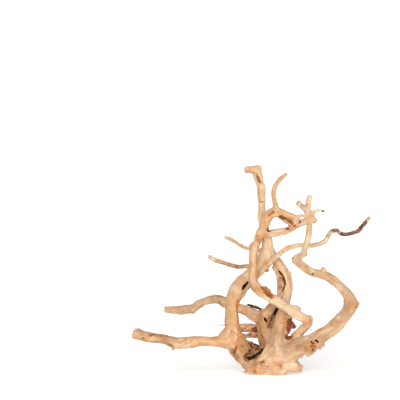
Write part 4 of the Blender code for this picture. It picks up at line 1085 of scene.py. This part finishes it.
def root_wood():
    """Bare azalea wood, dried and scrubbed: satin cream-tan with orange warmth, faintly streaked
    along the grain, with red-brown scars, soft reddish rot and a little dark bark. Shade is painted into
    its valleys, slots, hollows and the gaps between its limbs, and light onto its ridges and into
    shaded places behind the front stem and on the pit floor."""
    material = bpy.data.materials.new("bare_azalea_wood")
    material.use_nodes = True
    tree = material.node_tree
    tree.nodes.clear()

    # The grain runs along each limb, so its noise is drawn out along it
    place = add_node(tree, "ShaderNodeTexCoord").outputs["Object"]
    grain = add_node(tree, "ShaderNodeAttribute", attribute_name="grain").outputs["Vector"]
    runs = {
        "all ways": place,
        "half along": add_node(tree, "ShaderNodeMapping", {"Vector": grain, "Scale": (0.35, 1, 1)}),
        "along": add_node(tree, "ShaderNodeMapping", {"Vector": grain, "Scale": (0.1, 1, 1)}),
    }

    colour = linear("d2b48f")
    for run, size, (low, high), most, tint in TINTS.values():
        cloud = add_node(
            tree, "ShaderNodeTexNoise", {"Vector": runs[run], "Scale": 1 / (size * MM), "Detail": 4}
        )
        here = add_node(
            tree, "ShaderNodeMapRange", {"Value": cloud, "From Min": low, "From Max": high, "To Max": most}
        )
        colour = add_node(
            tree, "ShaderNodeMix", {"Factor": here, "A": colour, "B": linear(tint)}, data_type="RGBA"
        )

    # Painted light and shade from the relief: the ridges are painted paler and the valleys between them
    # darker
    carved = add_node(tree, "ShaderNodeAttribute", attribute_name="relief").outputs["Fac"]
    for (low, high), most, tint in (RIDGE_PAINTED_LIGHT, VALLEY_PAINTED_SHADE):
        here = add_node(
            tree, "ShaderNodeMapRange", {"Value": carved, "From Min": low, "From Max": high, "To Max": most}
        )
        colour = add_node(
            tree, "ShaderNodeMix", {"Factor": here, "A": colour, "B": linear(tint)}, data_type="RGBA"
        )

    # Small brown flecks, 3.6 mm apart, where hair roots broke off
    fleck_cloud = add_node(
        tree, "ShaderNodeTexNoise", {"Vector": runs["half along"], "Scale": 1 / (3.6 * MM)}
    )
    fleck = add_node(
        tree,
        "ShaderNodeMapRange",
        {"Value": fleck_cloud, "From Min": 0.66, "From Max": 0.74, "To Max": 0.68},
    )
    colour = add_node(
        tree, "ShaderNodeMix", {"Factor": fleck, "A": colour, "B": linear("7c4825")}, data_type="RGBA"
    )

    worn = fleck
    for name, finish in MARKS.items():
        size, raggedness, (rim, rim_cover), (deep, light), mottle, most, (start, full) = finish
        mark = add_node(tree, "ShaderNodeAttribute", attribute_name=name).outputs["Fac"]
        edge = add_node(
            tree, "ShaderNodeTexNoise", {"Vector": place, "Scale": 1 / (size * MM), "Detail": 5}
        )
        ragged = add_node(
            tree,
            "ShaderNodeMapRange",
            {"Value": edge, "From Min": 0.3, "From Max": 0.7, "To Min": -raggedness, "To Max": 0},
        )
        reach = add_node(tree, "ShaderNodeMath", {0: mark, 1: 1.4, 2: ragged}, operation="MULTIPLY_ADD")
        near = add_node(
            tree,
            "ShaderNodeMapRange",
            {"Value": reach, "From Min": 0.06, "From Max": 0.4, "To Max": rim_cover},
        )
        colour = add_node(
            tree, "ShaderNodeMix", {"Factor": near, "A": colour, "B": linear(rim)}, data_type="RGBA"
        )
        inside = add_node(
            tree, "ShaderNodeMapRange", {"Value": reach, "From Min": start, "From Max": full, "To Max": most}
        )
        speck = add_node(
            tree,
            "ShaderNodeTexNoise",
            {"Vector": runs["half along"], "Scale": 1 / (mottle * MM), "Detail": 5},
        )
        level = add_node(tree, "ShaderNodeMapRange", {"Value": speck, "From Min": 0.4, "From Max": 0.6})
        flesh = add_node(
            tree,
            "ShaderNodeMix",
            {"Factor": level, "A": linear(deep), "B": linear(light)},
            data_type="RGBA",
        )
        colour = add_node(
            tree, "ShaderNodeMix", {"Factor": inside, "A": colour, "B": flesh}, data_type="RGBA"
        )
        if name in DULL_MARKS:
            worn = add_node(tree, "ShaderNodeMath", {0: worn, 1: inside}, operation="MAXIMUM")

    # Satin where it was scrubbed, in patches of 7 mm, and dull where it is scarred, rotten or barked
    patchy = add_node(tree, "ShaderNodeTexNoise", {"Vector": runs["half along"], "Scale": 1 / (7 * MM)})
    satin = add_node(
        tree,
        "ShaderNodeMapRange",
        {"Value": patchy, "From Min": 0.3, "From Max": 0.7, "To Min": 0.5, "To Max": 0.68},
    )
    gloss = add_node(tree, "ShaderNodeMix", {"Factor": worn, "A": satin, "B": 0.82})

    # Grain 1.1 mm apart, broken lumps of 3.4 mm, and flaky crumbs of 2.2 mm on the worn places. The
    # pores of this wood are about 0.05 mm wide, so its grain is drawn as coarse as it needs to show.
    fibres = add_node(
        tree, "ShaderNodeTexNoise", {"Vector": runs["along"], "Scale": 1 / (1.1 * MM), "Detail": 3}
    )
    lumps = add_node(
        tree, "ShaderNodeTexNoise", {"Vector": runs["half along"], "Scale": 1 / (3.4 * MM), "Detail": 5}
    )
    crumbs = add_node(
        tree,
        "ShaderNodeTexNoise",
        {"Vector": place, "Scale": 1 / (2.2 * MM), "Detail": 5, "Roughness": 0.7},
    )
    height = add_node(tree, "ShaderNodeMath", {0: fibres, 1: 0.5, 2: lumps}, operation="MULTIPLY_ADD")
    height = add_node(tree, "ShaderNodeMath", {0: worn, 1: crumbs, 2: height}, operation="MULTIPLY_ADD")
    bump = add_node(tree, "ShaderNodeBump", {"Height": height, "Strength": 0.55, "Distance": 0.9 * MM})

    wood = add_node(
        tree,
        "ShaderNodeBsdfPrincipled",
        {"Base Color": colour, "Roughness": gloss, "Normal": bump, "Specular IOR Level": 0.35},
    )
    add_node(tree, "ShaderNodeOutputMaterial", {"Surface": wood})
    return material


def torn_fibre():
    """Torn wood fibre: dull, pale where it tore lately and brown to nearly black where it is old."""
    material = bpy.data.materials.new("torn_wood_fibre")
    material.use_nodes = True
    tree = material.node_tree
    tree.nodes.clear()
    place = add_node(tree, "ShaderNodeTexCoord").outputs["Object"]
    age = add_node(tree, "ShaderNodeAttribute", attribute_name="age").outputs["Fac"]
    # Mottle of 2.5 mm, so that one splinter isn't one flat colour
    mottle = add_node(tree, "ShaderNodeTexNoise", {"Vector": place, "Scale": 1 / (2.5 * MM), "Detail": 3})
    shift = add_node(
        tree,
        "ShaderNodeMapRange",
        {"Value": mottle, "From Min": 0.3, "From Max": 0.7, "To Min": -0.2, "To Max": 0.2},
    )
    tone = add_node(tree, "ShaderNodeMath", {0: age, 1: shift}, operation="ADD", use_clamp=True)
    ramp = add_node(tree, "ShaderNodeValToRGB", {"Fac": tone})
    ramp.color_ramp.elements[0].color = linear("d2b08c")
    ramp.color_ramp.elements[1].color = linear("2c1a12")
    ramp.color_ramp.elements.new(0.55).color = linear("9a5c38")
    fibre = add_node(
        tree, "ShaderNodeBsdfPrincipled", {"Base Color": ramp, "Roughness": 0.8, "Specular IOR Level": 0.25}
    )
    add_node(tree, "ShaderNodeOutputMaterial", {"Surface": fibre})
    return material


def studio_floor():
    """Seamless white paper, lit to almost pure white."""
    material = bpy.data.materials.new("white_paper_floor")
    material.use_nodes = True
    shader = material.node_tree.nodes["Principled BSDF"]
    shader.inputs["Base Color"].default_value = linear("fbfaf8")
    shader.inputs["Roughness"].default_value = 0.9
    shader.inputs["Specular IOR Level"].default_value = 0.1
    shader.inputs["Emission Color"].default_value = linear("ffffff")
    shader.inputs["Emission Strength"].default_value = 0.3
    return material


# Studio


def make_studio():
    """The floor, even white light from all round, and two soft boxes."""
    deselect()
    under_foot = (0, 0, -FLOOR_GAP * MM)
    bpy.ops.mesh.primitive_circle_add(
        vertices=96, radius=FLOOR_RADIUS, fill_type="NGON", location=under_foot
    )
    floor = bpy.context.object
    floor.name = "floor"
    floor.data.materials.append(studio_floor())
    bpy.ops.object.transform_apply(location=True, rotation=True, scale=True)

    world = bpy.data.worlds.new("white_studio")
    bpy.context.scene.world = world
    world.use_nodes = True
    tree = world.node_tree
    tree.nodes.clear()
    seen = add_node(tree, "ShaderNodeLightPath").outputs["Is Camera Ray"]
    strength = add_node(tree, "ShaderNodeMapRange", {"Value": seen, "To Min": AMBIENT, "To Max": 1.0})
    sky = add_node(tree, "ShaderNodeBackground", {"Color": linear("ffffff"), "Strength": strength})
    add_node(tree, "ShaderNodeOutputWorld", {"Surface": sky})

    for name, (place, softness, power) in SOFTBOXES.items():
        deselect()
        bpy.ops.object.light_add(type="SUN", location=place)
        box = bpy.context.object
        box.name = name
        box.data.angle = math.radians(softness)
        box.data.energy = power
        box.rotation_euler = Vector(place).to_track_quat("Z", "Y").to_euler()


def make_camera():
    """A long lens, looking a little down, at the photograph's framing."""
    tilt = math.radians(CAMERA_ELEVATION)
    back = Vector((0, -math.cos(tilt), math.sin(tilt)))
    up = Vector((0, math.sin(tilt), math.cos(tilt)))
    aim = Vector((1, 0, 0)) * FRAME_CENTRE[0] * MM + up * FRAME_CENTRE[1] * MM
    deselect()
    bpy.ops.object.camera_add(location=aim + back * CAMERA_DISTANCE)
    camera = bpy.context.object
    camera.data.sensor_width = SENSOR_WIDTH
    camera.data.lens = SENSOR_WIDTH * CAMERA_DISTANCE / (FRAME_WIDTH * MM)
    camera.data.clip_end = 100
    camera.rotation_mode = "QUATERNION"
    camera.rotation_quaternion = (-back).to_track_quat("-Z", "Y")
    bpy.context.scene.camera = camera


def build_root():
    """The root's one piece of wood: limbs fused, softened, carved, sawn flat and weathered."""
    wood, rings = limb_bundle()
    finish_modifier(wood, "REMESH", mode="VOXEL", voxel_size=FUSING_GRAIN * MM)
    finish_modifier(wood, "SMOOTH", factor=SOFTENING_STRENGTH, iterations=SOFTENING_PASSES)
    drop_scraps(wood)
    carve_hollows(wood)
    saw_foot(wood)
    finish_modifier(wood, "DECIMATE", ratio=KEPT_TRIANGLES)
    weather(wood, rings)
    take(wood)
    bpy.ops.object.shade_smooth()
    wood.data.materials.clear()
    wood.data.materials.append(root_wood())
    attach(wood, "root")
    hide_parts("azalea_root")
    return wood


fray(build_root())
make_studio()
make_camera()
bpy.context.scene.view_settings.view_transform = "Standard"
